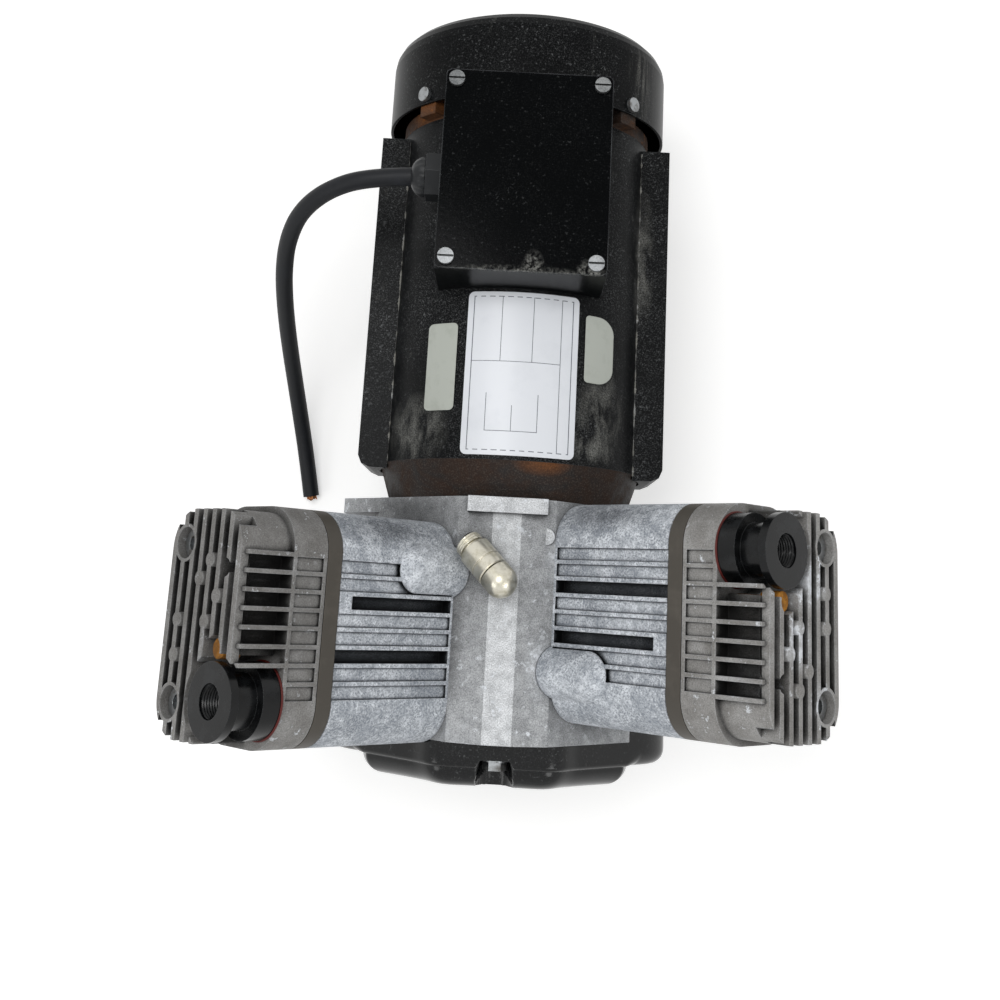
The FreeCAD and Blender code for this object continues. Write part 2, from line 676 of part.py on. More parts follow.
def cover_outline(inset):
    half = "(flange_half - (%s))" % inset
    return mirrored([
        ("(%s - 30)" % half, "0 - case_bottom - cover_wall - 0.5 + (%s)" % inset),
        (half, "0 - case_bottom + 34"),
        (half, "%s - 1.5 - (%s) * 0.4" % (deck_line("flange_half"), inset)),
        ("(flange_half - 50 - (%s) * 0.4)" % inset, "%s - 3 - (%s)" % (deck_line("(flange_half - 50)"), inset)),
        ("(flange_half - 58)", "cover_top - (%s)" % inset),
    ])


COVER_BOLTS = [
    ("0", "(cover_top - 10)"),
    ("(flange_half - 12)", "(0 - 12)"), ("(12 - flange_half)", "(0 - 12)"),
    ("(flange_half - 40)", "(12 - case_bottom)"), ("(40 - flange_half)", "(12 - case_bottom)"),
]


def cover_bolts():
    face = CASE_FRONT + " - cover_depth"
    bolts = []
    for i, (x, z) in enumerate(COVER_BOLTS):
        height = "axis_height + (%s)" % z
        shank = rod("CoverBoltShank%d" % i, "cover_bolt_radius", "cover_depth - 4 + flange_thick - 0.5",
                    (x, face + " + 4", height), "y")
        washer = rod("CoverBoltWasher%d" % i, "cover_bolt_head + 0.9", "1.2", (x, face + " + 2.8", height), "y")
        head_ = doc.addObject("Part::Prism", "CoverBoltHead%d" % i)
        head_.Polygon = 6
        head_.Placement.Rotation = ALONG["y"]
        bind(head_, {"Circumradius": "cover_bolt_head", "Height": "4"})
        place(head_, (x, face + " - 1.2", height))
        bolts.append(fused("CoverBolt%d" % i, [shank, washer, head_]))
    return grouped("front_cover_bolts", bolts)


def crank_set():
    """Everything that turns with the motor shaft."""
    back = SHELL_END + " + cowl_start + cowl_length - 12"
    tail = SHELL_END + " - rear_bearing_width - 2"
    core = SHELL_START + " + stator_start"
    shaft = turned("MotorShaft", [
        ("0", WEB_FRONT + " + 5"), ("shaft_radius", WEB_FRONT + " + 5"), ("shaft_radius", core),
        ("shaft_radius + 2", core), ("shaft_radius + 2", core + " + stator_length"),
        ("shaft_radius", core + " + stator_length"), ("shaft_radius", tail), ("shaft_tail", tail), ("shaft_tail", back), ("0", back),
    ])
    piece("motor_shaft", shaft)
    piece("rotor_core", ring("RotorCore", "stator_bore - air_gap", "shaft_radius + 2", "stator_length", ("0", core, "axis_height"), "y"))
    web = rod("CrankWeb", "web_radius", "web_thick", ("0", WEB_FRONT, "axis_height"), "y")
    hub = rod("CrankHub", "hub_radius", "hub_length", ("0", WEB_BACK, "axis_height"), "y")
    pin = rod("CrankPin", "crankpin_radius", "2 * rod_thick + 2 + 1.3", ("0", PIN_END, "axis_height + throw"), "y")
    bore = rod("CrankBore", "shaft_radius", "web_thick + hub_length", ("0", WEB_FRONT + " + 5", "axis_height"), "y")
    thread = rod("CrankPinThread", "pin_screw", "14", ("0", PIN_END + " - 1", "axis_height + throw"), "y")
    piece("crank", cut("Crank", fused("CrankSolid", [web, hub, pin]), [bore, thread]))
    weight_ring = ring("WeightRing", "counterweight_radius", "hub_radius", "hub_length - 2", ("0", WEB_BACK, "axis_height"), "y")
    below = box("WeightBelow", ("0 - counterweight_radius", WEB_BACK, "axis_height - counterweight_radius"),
                ("2 * counterweight_radius", "hub_length", "counterweight_radius - 6"))
    piece("counterweight", common("Counterweight", weight_ring, below))
    screw = fused("PinScrewSolid", [
        rod("PinScrewShank", "pin_screw", "12", ("0", PIN_END, "axis_height + throw"), "y"),
        rod("PinWasher", "crankpin_radius + 3.5", "2", ("0", PIN_END + " - 2", "axis_height + throw"), "y"),
        rod("PinScrewHead", "pin_screw * 1.6", "5", ("0", PIN_END + " - 7", "axis_height + throw"), "y"),
    ])
    piece("crankpin_screw", screw)


PIN_END = "(0 - foot_pitch_y / 2 - bank_offset - rod_thick / 2 - 0.7)"


def fan():
    start = SHELL_END + " + cowl_start + cowl_length - 14 - fan_width"
    hub = rod("FanHub", "fan_hub", "fan_width", ("0", start, "axis_height"), "y")
    disc = rod("FanDisc", "fan_radius", "2", ("0", start + " + fan_width - 2", "axis_height"), "y")
    blades = around("FanBlade", lambda tag: box(tag, ("0 - 1", start, "axis_height + fan_hub - 1"),
                                                ("2", "fan_width", "fan_radius - fan_hub + 0.5")), 8)
    bore = rod("FanBore", "shaft_tail", "fan_width + 2", ("0", start + " - 1", "axis_height"), "y")
    piece("cooling_fan", cut("CoolingFan", fused("FanSolid", [hub, disc] + blades), [bore]))


def rod_tilt():
    """How far a rod leans at rest, when the crankpin stands straight up."""
    half = math.radians(SIZE["bank_angle"] / 2)
    return math.degrees(math.asin(SIZE["throw"] * math.sin(half) / SIZE["rod_length"]))


def rod_placement(side):
    """The rod frame: origin in the crankpin, z towards the wrist pin."""
    turn = SIZE["bank_angle"] / 2 + rod_tilt()
    shift = SIZE["bank_offset"]
    if side == "left":
        turn = -turn
        shift = -shift
    return FreeCAD.Placement(V(0, SHAFT_Y + shift, SIZE["axis_height"] + SIZE["throw"]), FreeCAD.Rotation(V(0, 1, 0), turn))


def in_rod(side, label, thing):
    holder = doc.addObject("Part::Compound", thing.Name + "Placed")
    holder.Links = [thing]
    holder.Placement = rod_placement(side)
    return piece("%s_%s" % (side, label), holder)


def connecting_rod(side):
    tag = side.title() + "Rod"
    big = rod(tag + "Big", "big_end", "rod_thick", ("0", "0 - rod_thick / 2", "0"), "y")
    small = rod(tag + "Small", "small_end", "small_end_thick", ("0", "0 - small_end_thick / 2", "rod_length"), "y")
    shank = box(tag + "Shank", ("0 - rod_shank / 2", "0 - small_end_thick / 2 + 1", "rod_bearing_outer"),
                ("rod_shank", "small_end_thick - 2", "rod_length - rod_bearing_outer"))
    eyes = [rod(tag + "BigEye", "rod_bearing_outer", "rod_thick + 2", ("0", "0 - rod_thick / 2 - 1", "0"), "y"),
            rod(tag + "SmallEye", "wrist_pin_radius", "rod_thick + 2", ("0", "0 - rod_thick / 2 - 1", "rod_length"), "y")]
    in_rod(side, "connecting_rod", cut(tag, fused(tag + "Solid", [big, small, shank]), eyes))
    in_rod(side, "rod_bearing", ring(tag + "Bearing", "rod_bearing_outer", "crankpin_radius + pin_gap", "rod_thick",
                                     ("0", "0 - rod_thick / 2", "0"), "y"))
    in_rod(side, "wrist_pin", rod(tag + "Pin", "wrist_pin_radius", "wrist_pin_length",
                                  ("0", "0 - wrist_pin_length / 2", "rod_length"), "y"))


def crown_height():
    """Where the crown stands at rest, below its top dead centre by what the linkage gives."""
    half = math.radians(SIZE["bank_angle"] / 2)
    rest = SIZE["throw"] * math.cos(half) + SIZE["rod_length"] * math.cos(math.radians(rod_tilt()))
    top = SIZE["throw"] + SIZE["rod_length"]
    return rest - top


def piston(side):
    """A deep cup whose crown stands one clearance below the plate at top dead centre."""
    tag = side.title() + "Piston"
    crown = "(%s + %.6f - crown_clearance)" % (BARREL_TOP, crown_height())
    skirt = "(%s - piston_length)" % crown
    radius = "(bore_radius - piston_gap)"
    points = [("0", crown), (radius, crown), (radius, crown + " - 4"), (radius + " - ring_depth", crown + " - 4"),
              (radius + " - ring_depth", crown + " - 4 - ring_width"), (radius, crown + " - 4 - ring_width"),
              (radius, skirt + " + 4 + ring_width"), (radius + " - ring_depth", skirt + " + 4 + ring_width"),
              (radius + " - ring_depth", skirt + " + 4"), (radius, skirt + " + 4"), (radius, skirt),
              (radius + " - piston_wall", skirt), (radius + " - piston_wall", crown + " - crown_thick"), ("0", crown + " - crown_thick")]
    holder = on_bank(side, "PistonPlaced", [turned(tag, points, "z")])
    piece(side + "_piston", holder)
    rings = [ring(tag + name, "bore_radius - ring_gap", radius + " - ring_depth + 0.05", "ring_width - 0.1", ("0", "0", start))
             for name, start in (("UpperRing", crown + " - 4 - ring_width + 0.05"), ("LowerRing", skirt + " + 4 + 0.05"))]
    piece(side + "_piston_rings", on_bank(side, "PistonRings", rings))


def banks():
    for side in ("left", "right"):
        piece(side + "_cylinder", on_bank(side, "Cylinder", [barrel(side)]))
        piece(side + "_valve_plate", on_bank(side, "ValvePlate", [valve_plate(side)]))
        piece(side + "_cylinder_head", on_bank(side, "CylinderHead", [head(side)]))
        piece(side + "_port_fitting", on_bank(side, "PortFitting", [port_fitting(side)]))
        connecting_rod(side)
        piston(side)
    both = ("left", "right")
    grouped("head_gaskets", [on_bank(side, "Gaskets", [gasket(side, "BaseGasket", BARREL_TOP, round_opening),
                                                       gasket(side, "HeadGasket", PLATE_START + " + plate_thick", chamber_opening)])
                             for side in both])
    grouped("head_bolts", [on_bank(side, "HeadBolts", head_bolts(side)) for side in both])
    grouped("port_screws", [on_bank(side, "PortScrews", [port_screw(side)]) for side in both])
    grouped("reed_valves", [on_bank(side, "Reeds", reeds(side)) for side in both])


def motor():
    face = FLANGE_FACE
    wall = "5"
    bell = turned("DriveEndShield", [
        ("(shaft_radius + 1)", face), ("(shell_radius - 6)", face), ("shell_radius", SHELL_START),
        ("(shell_radius - shell_wall - fixed_gap)", SHELL_START), ("(shell_radius - shell_wall - fixed_gap)", SHELL_START + " + 6"),
        ("(shell_radius - shell_wall - 12)", SHELL_START + " + 6"), ("(shell_radius - 14)", face + " + " + wall),
        ("(front_bearing_outer + 5)", face + " + " + wall), ("(front_bearing_outer + 5)", face + " + 3 + front_bearing_width"),
        ("front_bearing_outer", face + " + 3 + front_bearing_width"), ("front_bearing_outer", face + " + 3"),
        ("(shaft_radius + 1)", face + " + 3"),
    ])
    piece("drive_end_shield", cut("DriveEndShieldDrilled", bell, tie_holes("BellTie", face + " - 1", "bell_length + 10")))
    piece("front_bearing", ring("FrontBearing", "front_bearing_outer", "shaft_radius + pin_gap", "front_bearing_width",
                                ("0", face + " + 3", "axis_height"), "y"))
    shell = ring("MotorShellTube", "shell_radius", "shell_radius - shell_wall", "shell_length", ("0", SHELL_START, "axis_height"), "y")
    lead_hole = rod("ShellLeadHole", "12", "shell_radius", ("0", BOX_MIDDLE_Y, "axis_height + 20"))
    piece("motor_shell", cut("MotorShell", shell, [lead_hole]))
    core = SHELL_START + " + stator_start"
    stator = ring("StatorCoreRing", "shell_radius - shell_wall", "stator_bore", "stator_length", ("0", core, "axis_height"), "y")
    piece("stator_core", cut("StatorCore", stator, tie_holes("StatorTie", core + " - 1", "stator_length + 2")))
    coils = [ring("Winding" + name, "tie_bolt_circle - 5", "stator_bore + 2", "winding_overhang", ("0", start, "axis_height"), "y")
             for name, start in (("Front", core + " - winding_overhang"), ("Rear", core + " + stator_length"))]
    grouped("stator_windings", coils)
    end = SHELL_END
    shield = turned("RearShieldDisc", [
        ("(shell_radius - shell_wall - fixed_gap)", end + " - 6"), ("(shell_radius - shell_wall - fixed_gap)", end), ("shell_radius", end),
        ("shell_radius", end + " + rear_shield_length"), ("(shaft_tail + 1)", end + " + rear_shield_length"),
        ("(shaft_tail + 1)", end + " + rear_shield_length - 2"), ("rear_bearing_outer", end + " + rear_shield_length - 2"),
        ("rear_bearing_outer", end + " + rear_shield_length - 2 - rear_bearing_width"),
        ("(rear_bearing_outer + 5)", end + " + rear_shield_length - 2 - rear_bearing_width"), ("(rear_bearing_outer + 5)", end + " + 3"),
        ("(shell_radius - shell_wall - 12)", end + " + 3"), ("(shell_radius - shell_wall - 12)", end + " - 6"),
    ])
    lugs = around("RearLug", lambda tag: box(tag, ("0 - 6", end + " + 1", "axis_height + shell_radius - 3"),
                                             ("12", "cowl_start + 8", "cowl_radius - cowl_wall - 0.5 - shell_radius + 3")), 4, TIE_TURN)
    screw_holes = around("RearLugHole", lambda tag: rod(tag, "2 + fixed_gap", "30", ("0", COWL_SCREW_Y, "axis_height + shell_radius - 4")),
                         4, TIE_TURN)
    holes = tie_holes("RearTie", end + " - 8", "rear_shield_length + 10")
    piece("rear_end_shield", cut("RearEndShield", fused("RearShieldSolid", [shield] + lugs), screw_holes + holes))
    piece("rear_bearing", ring("RearBearing", "rear_bearing_outer", "shaft_tail + pin_gap", "rear_bearing_width",
                               ("0", end + " + rear_shield_length - 2 - rear_bearing_width", "axis_height"), "y"))
    tie_start = face + " - flange_thick + 0.5"
    tie_length = "flange_thick - 0.5 + bell_length + shell_length + rear_shield_length"
    grouped("tie_bolts", around("TieBolt", lambda tag: fused(tag, [
        rod(tag + "Shank", "tie_bolt_radius", tie_length, ("0", tie_start, "axis_height + tie_bolt_circle"), "y"),
        rod(tag + "Head", "tie_bolt_radius * 1.8", "4", ("0", end + " + rear_shield_length", "axis_height + tie_bolt_circle"), "y"),
    ]), 4, TIE_TURN))


COWL_START = "(0 - foot_pitch_y / 2 + case_rear + bell_length + shell_length + cowl_start)"
COWL_SCREW_Y = "(0 - foot_pitch_y / 2 + case_rear + bell_length + shell_length + cowl_start + 5)"


def cowl():
    """The fan cowl: a drum with a rounded shoulder and an open grille in its end."""
    back = COWL_START + " + cowl_length"
    steps = 5
    arc = []
    for inner in (False, True):
        reach = "(cowl_radius - cowl_wall)" if inner else "cowl_radius"
        bend = "(cowl_shoulder - cowl_wall)" if inner else "cowl_shoulder"
        end = "(%s - cowl_wall)" % back if inner else "(%s)" % back
        points = [("(%s - %s * (1 - cos(%g)))" % (reach, bend, a), "(%s - %s * (1 - sin(%g)))" % (end, bend, a))
                  for a in [90 * i / steps for i in range(steps + 1)]]
        arc.append(points)
    profile = [("cowl_radius", COWL_START)] + arc[0] + [("0", back), ("0", back + " - cowl_wall")]
    profile += list(reversed(arc[1])) + [("(cowl_radius - cowl_wall)", COWL_START)]
    drum = turned("CowlDrum", profile)
    slots = []
    for rank, (reach, count) in enumerate((("18", 6), ("34", 12), ("50", 18))):
        slots += around("CowlHole%d" % rank, lambda tag: rod(tag, "4.2", "10", ("0", back + " - 6", "axis_height + " + reach), "y"), count)
    screws = around("CowlScrewHole", lambda tag: rod(tag, "2 + fixed_gap", "12", ("0", COWL_SCREW_Y, "axis_height + cowl_radius - 6")),
                    4, TIE_TURN)
    piece("fan_cowl", cut("FanCowl", drum, slots + screws))
    grouped("cowl_screws", around("CowlScrew", lambda tag: fused(tag, [
        rod(tag + "Shank", "2", "9", ("0", COWL_SCREW_Y, "axis_height + cowl_radius - 9")),
        rod(tag + "Head", "4", "2.2", ("0", COWL_SCREW_Y, "axis_height + cowl_radius")),
    ]), 4, TIE_TURN))


def side_channel(side):
    """A pressed channel along the motor, closed at its ends and seated on the shell."""
    sign = "0 - " if side == "left" else ""
    tag = side.title() + "Channel"
    start = SHELL_START + " - 3"
    end = start + " + channel_length"

    def bar(name, inset):
        reach = "(channel_half - (%s))" % inset
        points = [(sign + "(channel_half - 22)", start + " + (%s)" % inset), (sign + "(%s - 6)" % reach, start + " + (%s)" % inset),
                  (sign + "(%s - 1.8)" % reach, start + " + 1.8 + (%s)" % inset), (sign + reach, start + " + 6 + (%s)" % inset),
                  (sign + reach, end + " - (%s)" % inset), (sign + "(channel_half - 22)", end + " - (%s)" % inset)]
        return prism(name, points, "z", "axis_height - channel_height / 2 + (%s)" % inset, "channel_height - 2 * (%s)" % inset)

    shell = rod(tag + "ShellSpace", "shell_radius + fixed_gap", "channel_length + 20", ("0", start + " - 10", "axis_height"), "y")
    return piece(side + "_side_channel", cut(tag, bar(tag + "Outer", "0"), [bar(tag + "Inner", "channel_wall"), shell]))


# The box ends where the cowl begins
BOX_Y = "(0 - foot_pitch_y / 2 + case_rear + bell_length + shell_length + cowl_start - box_length)"
BOX_MIDDLE_Y = "(0 - foot_pitch_y / 2 + case_rear + bell_length + shell_length + cowl_start - box_length / 2)"
GLAND_X = "(0 - box_width / 2)"


def lid_spots():
    inset = "lid_screw_inset"
    return [(x, y) for x in ("0 - box_width / 2 + " + inset, "box_width / 2 - " + inset)
            for y in (BOX_Y + " + " + inset, BOX_Y + " + box_length - " + inset)]


def terminal_box():
    top = "axis_height + box_top"
    base = "axis_height + shell_radius - 22"
    outer = box("BoxOuter", ("0 - box_width / 2", BOX_Y, base), ("box_width", "box_length", "box_top - shell_radius + 22"))
    inner = box("BoxInner", ("0 - box_width / 2 + box_wall", BOX_Y + " + box_wall", base + " - 1"),
                ("box_width - 2 * box_wall", "box_length - 2 * box_wall", "box_top"))
    posts = [rod("BoxPost%d" % i, "4.5", "14", (x, y, top + " - 14")) for i, (x, y) in enumerate(lid_spots())]
    frame = fused("BoxWalls", [cut("BoxTube", outer, [inner])] + posts)
    motor_space = rod("BoxShellSpace", "shell_radius + fixed_gap", "box_length + 20", ("0", BOX_Y + " - 10", "axis_height"), "y")
    cowl_space = rod("BoxCowlSpace", "cowl_radius + 0.3", "cowl_length", ("0", COWL_START, "axis_height"), "y")
    gland_hole = rod("BoxGlandHole", "cord_radius + 2", "10", (GLAND_X + " - 1", BOX_MIDDLE_Y, "axis_height + gland_height"), "x")
    threads = [rod("BoxThread%d" % i, "2 + fixed_gap", "12", (x, y, top + " - 11")) for i, (x, y) in enumerate(lid_spots())]
    piece("terminal_box", cut("TerminalBox", frame, [motor_space, cowl_space, gland_hole] + threads))
    lid_holes = [rod("LidHole%d" % i, "2 + fixed_gap", "lid_thick + 2", (x, y, top + " - 1")) for i, (x, y) in enumerate(lid_spots())]
    lid = rounded_block("LidPlate", "box_width", "box_length", top, "lid_thick", "3")
    place(lid, ("0", BOX_MIDDLE_Y, top))
    piece("terminal_box_lid", cut("TerminalBoxLid", lid, lid_holes))
    screws = []
    for i, (x, y) in enumerate(lid_spots()):
        shank = rod("LidScrewShank%d" % i, "2", "lid_thick + 9", (x, y, top + " - 9"))
        cap = rod("LidScrewHead%d" % i, "4", "2.4", (x, y, top + " + lid_thick"))
        slot = box("LidScrewSlot%d" % i, (x + " - 5", y + " - 0.5", top + " + lid_thick + 1.3"), ("10", "1", "2"))
        screws.append(cut("LidScrew%d" % i, fused("LidScrewSolid%d" % i, [shank, cap]), [slot]))
    grouped("lid_screws", screws)
    shell_space = rod("BlockShellSpace", "shell_radius + fixed_gap", "60", ("0", BOX_Y, "axis_height"), "y")
    block = box("BlockSolid", ("0 - 34", BOX_Y + " + 12", "axis_height + shell_radius - 15"), ("40", "18", "33"))
    piece("terminal_block", cut("TerminalBlock", block, [shell_space]))
    piece("run_capacitor", rod("RunCapacitor", "13", "58",
                               ("box_width / 2 - box_wall - 13", BOX_Y + " + 14", "axis_height + shell_radius + 14"), "y"))


def gland_and_cord():
    height = "axis_height + gland_height"
    collar = doc.addObject("Part::Prism", "GlandHex")
    collar.Polygon = 6
    collar.Placement.Rotation = ALONG["x"]
    bind(collar, {"Circumradius": "gland_flats / cos(30)", "Height": "gland_hex_length"})
    place(collar, (GLAND_X + " - gland_hex_length", BOX_MIDDLE_Y, height))
    stem = rod("GlandStem", "cord_radius + 1.9", "gland_hex_length + 4", (GLAND_X + " - gland_hex_length", BOX_MIDDLE_Y, height), "x")
    passage = rod("GlandPassage", "cord_radius + fixed_gap", "40", (GLAND_X + " - 20", BOX_MIDDLE_Y, height), "x")
    piece("cable_gland", cut("CableGland", fused("GlandSolid", [collar, stem]), [passage]))
    nut_body = rod("GlandNutBody", "gland_flats - 0.6", "gland_nut_length",
                   (GLAND_X + " - gland_hex_length - gland_nut_length", BOX_MIDDLE_Y, height), "x")
    nut_space = rod("GlandNutSpace", "cord_radius + fixed_gap", "20", (GLAND_X + " - 20", BOX_MIDDLE_Y, height), "x")
    piece("gland_nut", cut("GlandNut", nut_body, [nut_space]))


# The cord's route from the gland to its cut end on the floor, point by point
CORD_ROUTE = [
    (-57, 115.5, 182), (-80, 114.6, 180), (-100.7, 110.1, 170.7), (-116.5, 102.3, 155.3),
    (-125.5, 91.7, 135.9), (-129.8, 79.8, 115.3), (-131.5, 67.3, 94.6), (-131.9, 54.4, 74.1),
    (-131.4, 40.8, 54.2), (-130.1, 25.8, 35.4), (-127.8, 8.3, 19.5), (-124.3, -12.2, 8.4),
    (-120, -35, 4.9),
]


def cord():
    """A tube of straight runs joined by tangent arcs through the hand-set route."""
    points = [V(*point) for point in CORD_ROUTE]
    start = V(-SIZE["box_width"] / 2 - SIZE["gland_hex_length"] - SIZE["gland_nut_length"], BOX_MIDDLE,
              SIZE["axis_height"] + SIZE["shell_radius"] + SIZE["gland_rise"])
    points[0] = start
    edges = []
    here = points[0]
    radii = []
    for i in range(1, len(points) - 1):
        before = points[i] - points[i - 1]
        after = points[i + 1] - points[i]
        turn = before.getAngle(after)
        setback = 0.45 * min(before.Length, after.Length)
        radii.append(setback / math.tan(turn / 2))
        first = points[i] - V(before).normalize() * setback
        last = points[i] + V(after).normalize() * setback
        bisector = (V(after).normalize() - V(before).normalize()).normalize()
        centre = points[i] + bisector * math.hypot(radii[-1], setback)
        middle = centre - bisector * radii[-1]
        edges.append(Part.LineSegment(here, first).toShape())
        edges.append(Part.Arc(first, middle, last).toShape())
        here = last
    edges.append(Part.LineSegment(here, points[-1]).toShape())
    path = Part.Wire(edges)
    print("cord length %.1f, radii" % path.Length, " ".join("%.0f" % radius for radius in radii))
    circle = Part.Wire([Part.makeCircle(SIZE["cord_radius"], points[0], points[1] - points[0])])
    tube = path.makePipeShell([circle], True, False)
    section = math.pi * SIZE["cord_radius"] ** 2
    print("cord volume over section times length %.4f" % (tube.Volume / (section * path.Length)))
    jacket = doc.addObject("Part::Feature", "PowerCord")
    jacket.Shape = tube
    piece("power_cord", jacket)
    way = (points[-1] - points[-2]).normalize()
    across = way.cross(V(0, 0, 1)).normalize()
    up = across.cross(way)
    strands = []
    for i in range(3):
        angle = math.radians(90 + 120 * i)
        spot = points[-1] + across * 2.0 * math.cos(angle) + up * 2.0 * math.sin(angle)
        strands.append(Part.makeCylinder(1.3, 2.5, spot, way))
    copper = doc.addObject("Part::Feature", "CordConductors")
    copper.Shape = Part.makeCompound(strands)
    piece("cord_conductors", copper)


BOX_MIDDLE = (SHAFT_Y + SIZE["case_rear"] + SIZE["bell_length"] + SIZE["shell_length"] + SIZE["cowl_start"]
              - SIZE["box_length"] / 2)


def labels():
    """Bare label plates, bent to the motor shell."""
    sheet_ring = ring("LabelSheet", "shell_radius + fixed_gap + label_thick", "shell_radius + fixed_gap", "shell_length",
                      ("0", SHELL_START, "axis_height"), "y")
    window = box("LabelWindow", ("label_shift - label_width / 2", SHELL_START + " + label_start", "axis_height + 20"),
                 ("label_width", "label_length", "shell_radius"))
    piece("main_label", common("MainLabel", sheet_ring, window))
    side_sheet = ring("SideLabelSheet", "shell_radius + fixed_gap + label_thick", "shell_radius + fixed_gap", "shell_length",
                      ("0", SHELL_START, "axis_height"), "y")
    windows = [box("SideLabelWindow" + name, (x, SHELL_START + " + label_start + " + start, "axis_height + 20"),
                   ("side_label_width", span, "shell_radius"))
               for name, x, start, span in (("Left", "label_shift - label_width / 2 - 4.5 - side_label_width", "label_length - 61", "45"),
                                            ("Right", "label_shift + label_width / 2 + 3.5", "label_length - 43", "35"))]
    piece("side_labels", common("SideLabels", side_sheet, fused("SideLabelWindows", windows)))


VALVE_FOOT = ("0 - roof_flat * 1.2", "0 - foot_pitch_y / 2 + case_rear - valve_setback")
VALVE_WAY = V(SIZE["valve_lean"], -SIZE["valve_lean"], SIZE["valve_climb"])


def relief_valve():
    """A domed relief valve lying over the crankcase roof on a short elbow."""
    start = V(-SIZE["roof_flat"] * 1.2, SHAFT_Y + SIZE["case_rear"] - SIZE["valve_setback"], SIZE["axis_height"] + SIZE["deck_height"] + SIZE["roof_rise"] + 4)
    placement = FreeCAD.Placement(start, FreeCAD.Rotation(V(0, 0, 1), VALVE_WAY))

    def leaning(name, things):
        holder = doc.addObject("Part::Compound", name)
        holder.Links = things
        holder.Placement = placement
        return holder

    stem = rod("ValveStem", "valve_stem", "roof_height - case_bore", VALVE_FOOT + ("axis_height + case_bore + 4",))
    elbow = ball("ValveElbow", "valve_radius - 0.5", VALVE_FOOT + ("axis_height + roof_height + 4",))
    body = turned("ValveBarrel", [
        ("0", "0"), ("valve_radius - 1", "0"), ("valve_radius - 1", "6"), ("valve_radius + 0.5", "6"), ("valve_radius + 0.5", "10"),
        ("valve_radius - 0.8", "10.5"), ("valve_radius", "11.5"), ("valve_radius", "20"), ("valve_radius - 2", "20"),
        ("valve_radius - 2", "13"), ("2.5", "13"), ("2.5", "8"), ("0", "8"),
    ], "z")
    piece("relief_valve_body", fused("ReliefValveBody", [leaning("ValveBarrelLeaning", [body]), stem, elbow]))
    shell = fused("ValveCapSolid", [rod("ValveCapBarrel", "valve_radius - 0.1", "valve_length - valve_radius - 20", ("0", "0", "20")),
                                    ball("ValveCapDome", "valve_radius - 0.1", ("0", "0", "valve_length - valve_radius"))])
    room = rod("ValveCapRoom", "valve_radius - 2", "valve_length - valve_radius - 19", ("0", "0", "19"))
    piece("relief_valve_cap", leaning("ReliefValveCap", [cut("ValveCap", shell, [room])]))
    disc = rod("PoppetDisc", "valve_radius - 2.6", "2.5", ("0", "0", "13.05"))
    tip = rod("PoppetTip", "1.5", "6", ("0", "0", "15"))
    piece("relief_valve_poppet", leaning("ReliefValvePoppet", [fused("Poppet", [disc, tip])]))
    coil_start = 17.6
    coil_end = SIZE["valve_length"] - SIZE["valve_radius"] - 0.6
    helix = Part.makeHelix((coil_end - coil_start) / 4, coil_end - coil_start, 3.4)
    wire = Part.Wire([Part.makeCircle(0.5, V(3.4, 0, 0), V(0, 1, 0))])
    coil = Part.Wire(helix).makePipeShell([wire], True, True)
    spring = doc.addObject("Part::Feature", "ReliefValveSpring")
    spring.Shape = coil
    spring.Placement = placement * FreeCAD.Placement(V(0, 0, coil_start), FreeCAD.Rotation())
    piece("relief_valve_spring", spring)


def feet():
    rubbers = []
    for i, (sx, sy) in enumerate((a, b) for a in ENDS for b in ENDS):
        spot = ("0 %s foot_pitch_x / 2" % sx, "0 %s foot_pitch_y / 2" % sy, "0")
        rubbers.append(ring("RubberFoot%d" % i, "foot_radius", "foot_hole", "foot_height", spot))
    grouped("rubber_feet", rubbers)
    plate = box("MotorFootPlate", ("0 - foot_pitch_x / 2 - foot_radius", "foot_pitch_y / 2 - foot_radius - 6", "foot_height"),
                ("foot_pitch_x + 2 * foot_radius", "2 * foot_radius + 12", "foot_plate"))
    cheeks = [box("MotorFootCheek" + name, (x, "foot_pitch_y / 2 - foot_radius - 6", "foot_height"), ("foot_plate", "2 * foot_radius + 12", "40"))
              for name, x in (("Left", "0 - 42"), ("Right", "42 - foot_plate"))]
    saddle = ring("MotorSaddle", "shell_radius + foot_plate", "shell_radius", "2 * foot_radius + 12",
                  ("0", "foot_pitch_y / 2 - foot_radius - 6", "axis_height"), "y")
    low = box("MotorSaddleLimit", ("0 - 42", "foot_pitch_y / 2 - foot_radius - 6", "axis_height - shell_radius - foot_plate"),
              ("84", "2 * foot_radius + 12", "30"))
    tools = [rod("MotorFootSpace", "shell_radius + fixed_gap", "100", ("0", "foot_pitch_y / 2 - 50", "axis_height"), "y")]
    tools += [rod("MotorFootHole%d" % i, "foot_hole", "foot_plate + 2", ("0 %s foot_pitch_x / 2" % sx, "foot_pitch_y / 2", "foot_height - 1"))
              for i, sx in enumerate(ENDS)]
    piece("motor_foot", cut("MotorFoot", fused("MotorFootSolid", [plate, common("MotorSaddleStrip", saddle, low)] + cheeks), tools))


def check_and_write():
    doc.recompute()
    failed = [thing.Name for thing in doc.Objects if "Invalid" in thing.State or "Error" in thing.State]
    if failed:
        raise RuntimeError("failed features: %s" % ", ".join(failed))
    os.makedirs("parts", exist_ok=True)
    for thing in PIECES:
        if thing.Shape.isNull() or not thing.Shape.isValid() or not thing.Shape.Solids:
            raise RuntimeError("bad shape: %s" % thing.Label)
    for thing in PIECES:
        thing.Shape.exportStep("parts/%s.step" % thing.Label)
        print("%-22s %2d solids %10.0f mm3" % (thing.Label, len(thing.Shape.Solids), thing.Shape.Volume))


